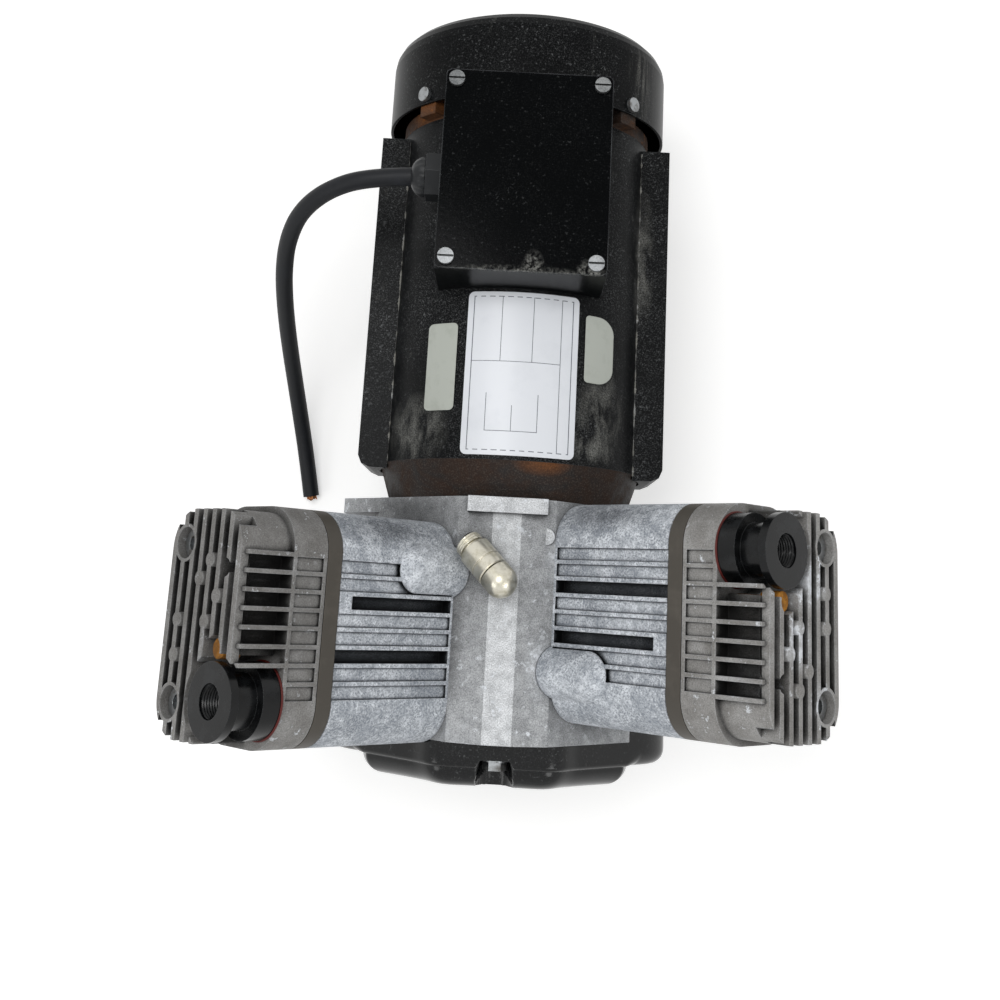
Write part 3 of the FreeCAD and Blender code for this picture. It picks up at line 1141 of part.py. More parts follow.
crankcase()
front_cover()
cover_bolts()
crank_set()
fan()
banks()
motor()
cowl()
for side in ("left", "right"):
    side_channel(side)
terminal_box()
gland_and_cord()
cord()
labels()
relief_valve()
feet()
check_and_write()
print(len(PIECES), "pieces")
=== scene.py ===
import math

import bpy
import mathutils
import numpy as np
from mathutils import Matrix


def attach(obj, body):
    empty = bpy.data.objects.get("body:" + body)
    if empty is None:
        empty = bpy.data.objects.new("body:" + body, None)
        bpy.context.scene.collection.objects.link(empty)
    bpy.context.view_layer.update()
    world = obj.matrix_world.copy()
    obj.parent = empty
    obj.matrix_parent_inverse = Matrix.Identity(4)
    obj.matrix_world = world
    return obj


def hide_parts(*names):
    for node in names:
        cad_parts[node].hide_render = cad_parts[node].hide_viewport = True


# An oil-free V-twin compressor, dressed for rendering. Numbers in the dictionaries are millimetres.
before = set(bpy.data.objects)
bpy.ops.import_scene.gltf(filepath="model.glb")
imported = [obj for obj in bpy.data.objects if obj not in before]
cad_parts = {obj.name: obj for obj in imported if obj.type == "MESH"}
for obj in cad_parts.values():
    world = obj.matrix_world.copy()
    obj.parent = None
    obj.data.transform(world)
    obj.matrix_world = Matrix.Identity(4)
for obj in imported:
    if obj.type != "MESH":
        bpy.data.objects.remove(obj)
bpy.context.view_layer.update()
mm = 0.001
rng = np.random.default_rng(11)
body = "compressor_block"
pole = 0.02  # a turned profile stops this close to its axis, and a small lid closes it
print("frame:", len(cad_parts), "nodes")


# helpers
def linear(hexColour):  # sRGB hex to linear: c/12.92 below 0.04045, else ((c + 0.055) / 1.055) ** 2.4
    c = np.array([int(hexColour[i:i + 2], 16) for i in (1, 3, 5)]) / 255.0
    return (*np.where(c <= 0.04045, c / 12.92, ((c + 0.055) / 1.055) ** 2.4), 1.0)


def addNode(tree, kind, values=None, links=None, **settings):
    node = tree.nodes.new(kind)
    for key, value in settings.items():
        setattr(node, key, value)
    for key, value in (values or {}).items():
        node.inputs[key].default_value = value
    for key, source in (links or {}).items():
        tree.links.new(source, node.inputs[key])
    return node


def newMaterial(name):
    material = bpy.data.materials.new(name)
    material.use_nodes = True
    tree = material.node_tree
    tree.nodes.clear()
    coords = addNode(tree, "ShaderNodeTexCoord").outputs["Object"]
    return material, tree, coords


def closeMaterial(tree, colour, rough, normal, metallic, **values):
    shader = addNode(tree, "ShaderNodeBsdfPrincipled",
                     values={key.replace("_", " "): v for key, v in values.items()},
                     links={"Base Color": colour, "Roughness": rough, "Normal": normal})
    if isinstance(metallic, (int, float)):
        shader.inputs["Metallic"].default_value = metallic
    else:
        tree.links.new(metallic, shader.inputs["Metallic"])
    addNode(tree, "ShaderNodeOutputMaterial", links={"Surface": shader.outputs["BSDF"]})


def makeMesh(name, points, faces, material, smooth=True):
    mesh = bpy.data.meshes.new(name)
    mesh.from_pydata((np.asarray(points) * mm).tolist(), [], faces)
    mesh.materials.append(material)
    mesh.polygons.foreach_set("use_smooth", [smooth] * len(mesh.polygons))
    mesh.validate()
    mesh.update()
    if smooth:
        mesh.set_sharp_from_angle(angle=math.radians(38))
    piece = bpy.data.objects.new(name, mesh)
    bpy.context.scene.collection.objects.link(piece)
    return piece


def gridFaces(rows, columns, wrapRows=False, wrapColumns=True, start=0):
    # quads of a rows x columns grid of points, listed row by row
    r = np.arange(rows if wrapRows else rows - 1)[:, None]
    c = np.arange(columns if wrapColumns else columns - 1)[None, :]
    r2 = (r + 1) % rows
    c2 = (c + 1) % columns
    quads = np.stack([r * columns + c, r * columns + c2, r2 * columns + c2, r2 * columns + c], axis=-1)
    return (quads.reshape(-1, 4) + start).tolist()


def turnedFaces(rows, segments, start=0):
    # the faces of a turned profile, with a lid on each end
    last = start + (rows - 1) * segments
    lids = [list(range(start, start + segments))[::-1], list(range(last, last + segments))]
    return gridFaces(rows, segments, start=start) + lids


def turnedGrid(profile, segments, wobble=None):
    # point(i, t) = (r_i cos t, r_i sin t, z_i), with r_i changed by wobble(t, z) where one is given
    profile = np.asarray(profile, float)
    t = np.linspace(0, 2 * np.pi, segments, endpoint=False)
    r = np.repeat(profile[:, :1], segments, 1)
    z = np.repeat(profile[:, 1:2], segments, 1)
    if wobble is not None:
        r = r + wobble(t[None, :], z, r)
    return np.stack([r * np.cos(t), r * np.sin(t), z], -1).reshape(-1, 3)


def frameOf(way):
    # two directions square to way, so that (a, b, way) is right-handed
    way = np.asarray(way, float) / np.linalg.norm(way)
    side = np.cross([0.0, 0.0, 1.0], way)
    if np.linalg.norm(side) < 1e-6:
        side = np.array([1.0, 0.0, 0.0])
    side /= np.linalg.norm(side)
    return np.stack([side, np.cross(way, side), way])


def bankFrame(side):
    # the cylinder bank's frame: x away from the top, y along the shaft, z out along the cylinder
    half = math.radians(bank["angle"] / 2)
    c, s = math.cos(half), math.sin(half)
    if side == "right":
        axes = np.array([[c, 0, -s], [0, 1, 0], [s, 0, c]])
        shift = bank["offset"]
    else:
        axes = np.array([[-c, 0, -s], [0, -1, 0], [-s, 0, c]])
        shift = -bank["offset"]
    return axes, np.array([0, bank["crankY"] + shift, bank["axisHeight"]])


bank = {"angle": 90, "offset": 6.2, "crankY": -100, "axisHeight": 96}


# camera, light and floor
camera = {"spot": (-1.6, -87.9, 810.6), "turn": (14.157, -0.458, 2.968), "focal": 1300.4,
          "centre": (510.8, 267.5), "picture": 1000, "sensor": 36, "near": 0.02, "far": 30}


def makeCamera():
    # focal and centre are in pixels of the square picture; near and far are metres
    data = bpy.data.cameras.new("photoCamera")
    picture = camera["picture"]
    data.sensor_width = camera["sensor"]
    data.lens = camera["focal"] / picture * camera["sensor"]
    data.shift_x = (picture / 2 - camera["centre"][0]) / picture
    data.shift_y = (camera["centre"][1] - picture / 2) / picture
    data.clip_start = camera["near"]
    data.clip_end = camera["far"]
    eye = bpy.data.objects.new("photoCamera", data)
    eye.location = np.array(camera["spot"]) * mm
    eye.rotation_euler = np.radians(camera["turn"])
    bpy.context.scene.collection.objects.link(eye)
    bpy.context.scene.camera = eye


studio = {"floorSize": 9000, "worldLight": 0.5, "background": "#ffffff", "floor": "#f1f1f0",
          "floorGlow": 0.42, "floorDrop": 0.05, "aim": (0, -20, 150),
          "lamps": [((-260, 160, 1300), 560, 5.2), ((560, -520, 900), 420, 1.6),
                    ((-700, -500, 700), 380, 1.0)]}


def directRay(tree):
    # the light path, and 1 where a ray comes from the camera or off a glossy face
    path = addNode(tree, "ShaderNodeLightPath").outputs
    seen = addNode(tree, "ShaderNodeMath", operation="MAXIMUM",
                   links={0: path["Is Camera Ray"], 1: path["Is Glossy Ray"]})
    return path, seen.outputs[0]


def makeStudio():
    scene = bpy.context.scene
    scene.view_settings.view_transform = "Standard"
    world = bpy.data.worlds.new("studioWorld")
    scene.world = world
    world.use_nodes = True
    tree = world.node_tree
    tree.nodes.clear()
    path, seen = directRay(tree)
    seen = addNode(tree, "ShaderNodeMath", operation="MAXIMUM",
                   links={0: seen, 1: path["Is Transmission Ray"]})
    level = addNode(tree, "ShaderNodeMapRange", values={"To Min": studio["worldLight"], "To Max": 1.0},
                    links={"Value": seen.outputs[0]})
    glow = addNode(tree, "ShaderNodeBackground", values={"Color": linear(studio["background"])},
                   links={"Strength": level.outputs[0]})
    addNode(tree, "ShaderNodeOutputWorld", links={"Surface": glow.outputs[0]})
    for spot, size, power in studio["lamps"]:
        data = bpy.data.lights.new("softbox", "AREA")
        data.shape = "DISK"
        data.size = size * mm
        data.energy = power
        lamp = bpy.data.objects.new("softbox", data)
        lamp.location = np.array(spot) * mm
        way = frameOf(np.array(spot) - np.array(studio["aim"]))
        lamp.rotation_euler = mathutils.Matrix(way.T.tolist()).to_euler()
        scene.collection.objects.link(lamp)
    half, low = studio["floorSize"] / 2, -studio["floorDrop"]
    material, tree = newMaterial("paperFloor")[:2]
    lift = addNode(tree, "ShaderNodeMath", operation="MULTIPLY", values={1: studio["floorGlow"]},
                   links={0: directRay(tree)[1]})
    paper = addNode(tree, "ShaderNodeBsdfDiffuse", values={"Color": linear(studio["floor"])})
    glow = addNode(tree, "ShaderNodeEmission", links={"Strength": lift.outputs[0]})
    both = addNode(tree, "ShaderNodeAddShader", links={0: paper.outputs[0], 1: glow.outputs[0]})
    addNode(tree, "ShaderNodeOutputMaterial", links={"Surface": both.outputs[0]})
    corners = [(-half, -half, low), (half, -half, low), (half, half, low), (-half, half, low)]
    floor = makeMesh("studioFloor", corners, [(0, 1, 2, 3)], material, smooth=False)
    print("camera and studio made")


# materials
def nearSpots(tree, coords, spots):
    # 1 inside each listed ellipsoid (centre, half sizes), fading to 0 at its edge; the largest counts
    total = None
    for centre, reach in spots:
        offset = addNode(tree, "ShaderNodeVectorMath", operation="SUBTRACT",
                         values={1: np.array(centre) * mm}, links={0: coords})
        scaled = addNode(tree, "ShaderNodeVectorMath", operation="DIVIDE", values={1: np.array(reach) * mm},
                         links={0: offset.outputs[0]})
        far = addNode(tree, "ShaderNodeVectorMath", operation="LENGTH", links={0: scaled.outputs[0]})
        near = addNode(tree, "ShaderNodeMapRange", values={"From Min": 1.0, "From Max": 0.25},
                       links={"Value": far.outputs["Value"]})
        if total is None:
            total = near.outputs[0]
        else:
            total = addNode(tree, "ShaderNodeMath", operation="MAXIMUM",
                            links={0: total, 1: near.outputs[0]}).outputs[0]
    return total


def noise(tree, coords, size, detail=4, rough=0.6, bend=0.0):
    # a noise whose blobs are about size millimetres across
    return addNode(tree, "ShaderNodeTexNoise",
                   values={"Scale": 1000 / size, "Detail": detail, "Roughness": rough, "Distortion": bend},
                   links={"Vector": coords}).outputs["Fac"]


def ramp(tree, value, low, high, bottom=0.0, top=1.0):
    return addNode(tree, "ShaderNodeMapRange",
                   values={"From Min": low, "From Max": high, "To Min": bottom, "To Max": top},
                   links={"Value": value}).outputs[0]


def times(tree, first, second, clamp=True):
    return addNode(tree, "ShaderNodeMath", operation="MULTIPLY", use_clamp=clamp,
                   links={0: first, 1: second}).outputs[0]


def plus(tree, first, second, share=1.0):
    # first + share * second, held between 0 and 1
    return addNode(tree, "ShaderNodeMath", operation="MULTIPLY_ADD", use_clamp=True, values={1: share},
                   links={0: second, 2: first}).outputs[0]


def blend(tree, factor, under, over):
    # under and over are hex colours or colour sockets
    node = addNode(tree, "ShaderNodeMix", data_type="RGBA", links={0: factor})
    for key, colour in ((6, under), (7, over)):
        if isinstance(colour, str):
            node.inputs[key].default_value = linear(colour)
        else:
            tree.links.new(colour, node.inputs[key])
    return node.outputs[2]


def softEdge(tree, radius):
    # the rounded normal at an edge, and how far it turns from the flat one
    edge = addNode(tree, "ShaderNodeBevel", samples=4, values={"Radius": radius * mm}).outputs[0]
    flat = addNode(tree, "ShaderNodeNewGeometry").outputs["Normal"]
    turn = addNode(tree, "ShaderNodeVectorMath", operation="DOT_PRODUCT",
                   links={0: edge, 1: flat}).outputs["Value"]
    return edge, turn


def relief(tree, height, depth, normal, strength=0.5):
    return addNode(tree, "ShaderNodeBump", values={"Strength": strength, "Distance": depth * mm},
                   links={"Height": height, "Normal": normal}).outputs[0]


def faceUp(tree):
    # how far the face points up, from -1 to 1
    normal = addNode(tree, "ShaderNodeNewGeometry").outputs["Normal"]
    return addNode(tree, "ShaderNodeSeparateXYZ", links={0: normal}).outputs[2]


def castMetal(name, look):
    # die-cast aluminium: a sandy grey skin, painted shade deep between the fins, white oxide powder on edges
    # (there partly a painted highlight) and in drifts; top faces painted lighter, listed spots painted in
    # shade
    material, tree, coords = newMaterial(name)
    grain = noise(tree, coords, look["grain"], 3, 0.7)
    metal = blend(tree, ramp(tree, noise(tree, coords, look["mottle"], 5, 0.62), 0.36, 0.64), look["base"],
                  look["stain"])
    sand = ramp(tree, grain, 0.3, 0.7, 1 - look["sand"], 1 + look["sand"])
    # painted shade: occlusion darkens the colour in crevices, and where alone is off, also where
    # neighbouring parts crowd in
    hollow = addNode(tree, "ShaderNodeAmbientOcclusion", samples=8, only_local=look["alone"],
                     values={"Distance": look["crevice"] * mm})
    creviceShade = ramp(tree, hollow.outputs["AO"], look["creviceFrom"], look["creviceFrom"] + 0.45,
                    look["creviceLevel"], 1.0)
    # painted light: faces pointing straight up lighter, sloping faces darker
    facetLighting = ramp(tree, faceUp(tree), 0.955, 0.995, 1.0 - look["facetLighting"], 1.0 + look["facetLighting"] * 0.4)
    shade = times(tree, times(tree, sand, creviceShade, False), facetLighting, False)
    # painted shade: the listed spots darken the colour and, below, hold back the powder
    if look["shadeSpots"]:
        grimeAndShade = ramp(tree, nearSpots(tree, coords, look["shadeSpots"]), 0, 1, 1.0, look["grimeAndShadeLevel"])
        shade = times(tree, shade, grimeAndShade, False)
    metal = addNode(tree, "ShaderNodeVectorMath", operation="SCALE",
                    links={0: metal, "Scale": shade}).outputs[0]
    edge, turn = softEdge(tree, look["edge"])
    # white on rounded edges: partly oxide powder, partly a painted highlight
    rim = ramp(tree, turn, 0.985, 0.8, 0.0, look["edgeChalkAndHighlight"])
    drift = ramp(tree, noise(tree, coords, look["chalkPatch"], 7, 0.72, 0.4), look["chalkFrom"],
                 look["chalkFrom"] + 0.2)
    clumps = noise(tree, coords, 5.5, 7, 0.72)
    if look["chalkSpots"]:
        near = nearSpots(tree, coords, look["chalkSpots"])
        drift = plus(tree, drift, near, 0.8)
        clumps = plus(tree, clumps, near, look["spotClumps"])
    fleck = noise(tree, coords, look["chalkSpeck"], 4, 0.75)
    chalk = times(tree, plus(tree, drift, rim), ramp(tree, fleck, 0.38, 0.6, look["chalkBase"], 1.0))
    splash = ramp(tree, clumps, look["splashFrom"], look["splashFrom"] + 0.05, 0.0, look["splash"])
    chalk = plus(tree, plus(tree, chalk, splash), ramp(tree, fleck, 0.4, 0.6), look["chalkFilm"])
    chalk = times(tree, chalk, ramp(tree, noise(tree, coords, look["chalkSpeck"] * 5, 6, 0.75), 0.36, 0.6,
                                    look["clump"], 1.0))
    # the powder fades out in the painted crevice shade as well
    chalk = times(tree, chalk, times(tree, creviceShade, creviceShade))
    # the painted shade spots hold back the powder too
    if look["shadeSpots"]:
        chalk = times(tree, chalk, grimeAndShade)
    colour = blend(tree, chalk, metal, look["chalk"])
    rough = ramp(tree, chalk, 0, 1, look["rough"], 0.95)
    metallic = ramp(tree, chalk, 0, 1, look["metallic"], 0.0)
    bump = relief(tree, plus(tree, grain, chalk, 0.5), look["bump"], edge, 0.6)
    closeMaterial(tree, colour, rough, bump, metallic, Specular_IOR_Level=look["specular"])
    return material


def blackEnamel(name, look):
    # enamel on pressed steel: near-black, dust in fine grains on upward faces, worn grey edges, dry white
    # smears where it was wiped
    material, tree, coords = newMaterial(name)
    upward = ramp(tree, faceUp(tree), 0.0, 0.9, 0.25, 1.0)
    cloud = ramp(tree, noise(tree, coords, 30, 5, 0.62), 0.36, 0.66, 0.2, 1.0)
    coarse = ramp(tree, noise(tree, coords, look["speck"], 2, 0.5), look["speckFrom"],
                  look["speckFrom"] + 0.08)
    fine = ramp(tree, noise(tree, coords, look["speck"] * 0.45, 3, 0.6), 0.5, 0.72, 0.0, look["fine"])
    dust = times(tree, times(tree, plus(tree, fine, coarse, look["coarse"]), cloud), upward)
    lines = addNode(tree, "ShaderNodeMapping", values={"Scale": look["smearStretch"]},
                    links={"Vector": coords}).outputs[0]
    grit = ramp(tree, noise(tree, coords, 0.8, 3, 0.7), 0.36, 0.64, 0.15, 1.0)
    smear = ramp(tree, noise(tree, lines, 9, 5, 0.6, 0.2), look["smearFrom"], look["smearFrom"] + 0.2, 0.0,
                 0.5)
    if look["smearSpots"]:
        near = nearSpots(tree, coords, look["smearSpots"])
        veil = ramp(tree, noise(tree, lines, look["smearSize"], 6, 0.62, 0.3), look["veilFrom"],
                    look["veilFrom"] + 0.26)
        smear = plus(tree, smear, times(tree, near, veil), look["smearLevel"])
    smear = times(tree, smear, grit)
    edge, turn = softEdge(tree, look["edge"])
    wear = times(tree, ramp(tree, turn, 0.985, 0.86, 0.0, 0.8), cloud)
    colour = blend(tree, wear, look["base"], look["worn"])
    colour = blend(tree, dust, colour, look["dust"])
    colour = blend(tree, smear, colour, look["smear"])
    cover = plus(tree, dust, smear)
    rough = ramp(tree, cover, 0, 1, look["rough"], 0.9)
    bump = relief(tree, plus(tree, noise(tree, coords, 2.2, 1), cover, 0.5), 0.05, edge, 0.35)
    closeMaterial(tree, colour, rough, bump, 0.0, Specular_IOR_Level=look["specular"])
    return material


def rustyIron(name, look):
    # cast iron under thin black paint: a brown bloom, a few orange blisters, a sandy skin
    material, tree, coords = newMaterial(name)
    grain = noise(tree, coords, 0.8, 3, 0.7)
    brown = ramp(tree, noise(tree, coords, 18, 7, 0.7, 0.5), look["brownFrom"], look["brownFrom"] + 0.22)
    orange = times(tree, ramp(tree, noise(tree, coords, 5, 6, 0.75), look["orangeFrom"],
                              look["orangeFrom"] + 0.14), brown)
    if look["orangeSpots"]:
        orange = plus(tree, orange, times(tree, nearSpots(tree, coords, look["orangeSpots"]),
                                          ramp(tree, grain, 0.3, 0.7, 0.3, 1.0)), 0.9)
    colour = blend(tree, brown, look["base"], look["brown"])
    colour = blend(tree, ramp(tree, grain, 0.5, 0.72, 0.0, 0.35), colour, look["glint"])
    colour = blend(tree, orange, colour, look["orange"])
    edge = softEdge(tree, 0.6)[0]
    bump = relief(tree, plus(tree, grain, orange, 0.6), 0.16, edge, 0.6)
    closeMaterial(tree, colour, ramp(tree, brown, 0, 1, look["rough"], 0.9), bump, look["metallic"],
                  Specular_IOR_Level=0.2)
    return material


def machinedMetal(name, look):
    # turned, plated or ground metal: a clear sheen, fine tool marks, dull patches where it has been handled
    material, tree, coords = newMaterial(name)
    dirt = ramp(tree, noise(tree, coords, look["patch"], 5, 0.65), look["dirtFrom"], look["dirtFrom"] + 0.2)
    edge = softEdge(tree, 0.3)[0]
    bump = relief(tree, noise(tree, coords, 0.5, 2), 0.03, edge, 0.3)
    closeMaterial(tree, blend(tree, dirt, look["base"], look["dirt"]),
                  ramp(tree, dirt, 0, 1, look["rough"], look["dullRough"]), bump,
                  ramp(tree, dirt, 0, 1, 1.0, look["dirtMetal"]))
    return material


def mouldedPlastic(name, look):
    # moulded, rolled or printed non-metal: one colour with a faint drift, a fine texture and a little grime
    material, tree, coords = newMaterial(name)
    grimeAndShade = ramp(tree, noise(tree, coords, look["patch"], 5, 0.65), look["grimeFrom"],
                 look["grimeFrom"] + 0.25, 0.0, look["grimeAndShadeLevel"])
    edge, turn = softEdge(tree, 0.35)
    colour = blend(tree, grimeAndShade, look["base"], look["grimeAndShade"])
    if look["edgeTone"]:
        colour = blend(tree, ramp(tree, turn, 0.985, 0.86, 0.0, 0.6), colour, look["edgeTone"])
    bump = relief(tree, noise(tree, coords, look["grain"], 2), look["bump"], edge, 0.4)
    closeMaterial(tree, colour, ramp(tree, grimeAndShade, 0, 1, look["rough"], look["rough"] + 0.25), bump, 0.0,
                  Specular_IOR_Level=look["specular"])
    return material


castBase = {
    "clump": 0.35, "splashFrom": 0.605, "spotClumps": 0.0, "grimeAndShadeLevel": 0.45, "mottle": 11, "grain": 0.6,
    "sand": 0.34, "chalkPatch": 24, "chalkSpeck": 0.9, "chalkFrom": 0.58, "chalkFilm": 0.0,
    "chalkBase": 0.3, "splash": 0.5, "facetLighting": 0.0, "chalkSpots": [], "shadeSpots": [], "edgeChalkAndHighlight": 0.25,
    "crevice": 10, "creviceFrom": 0.4, "creviceLevel": 0.04, "alone": True, "rough": 0.6, "metallic": 0.2,
    "specular": 0.12, "edge": 0.9, "bump": 0.12, "chalk": "#e4e8ed",
}
enamelBase = {
    "speck": 1.5, "speckFrom": 0.62, "coarse": 0.5, "fine": 0.22, "smearFrom": 0.66,
    "smearStretch": (1, 0.3, 1), "smearSpots": [], "smearLevel": 0.8, "smearSize": 9, "veilFrom": 0.42,
    "edge": 0.6, "base": "#050607", "worn": "#55585a", "dust": "#77797a", "smear": "#a5a59f", "rough": 0.3,
    "specular": 0.06,
}
metalBase = {
    "patch": 5, "base": "#9b9ea0", "dirt": "#55524e", "dirtFrom": 0.45, "rough": 0.34, "dullRough": 0.6,
    "dirtMetal": 0.5,
}
plasticBase = {
    "patch": 12, "grain": 0.8, "base": "#15171a", "grimeAndShade": "#3a3b3c", "grimeFrom": 0.5, "grimeAndShadeLevel": 0.6,
    "rough": 0.35, "bump": 0.03, "specular": 0.25, "edgeTone": None,
}
rustBase = {
    "base": "#1f1c1b", "brown": "#33261f", "orange": "#7a4a22", "glint": "#6b625b", "brownFrom": 0.42,
    "orangeFrom": 0.66, "orangeSpots": [], "rough": 0.55, "metallic": 0.0,
}

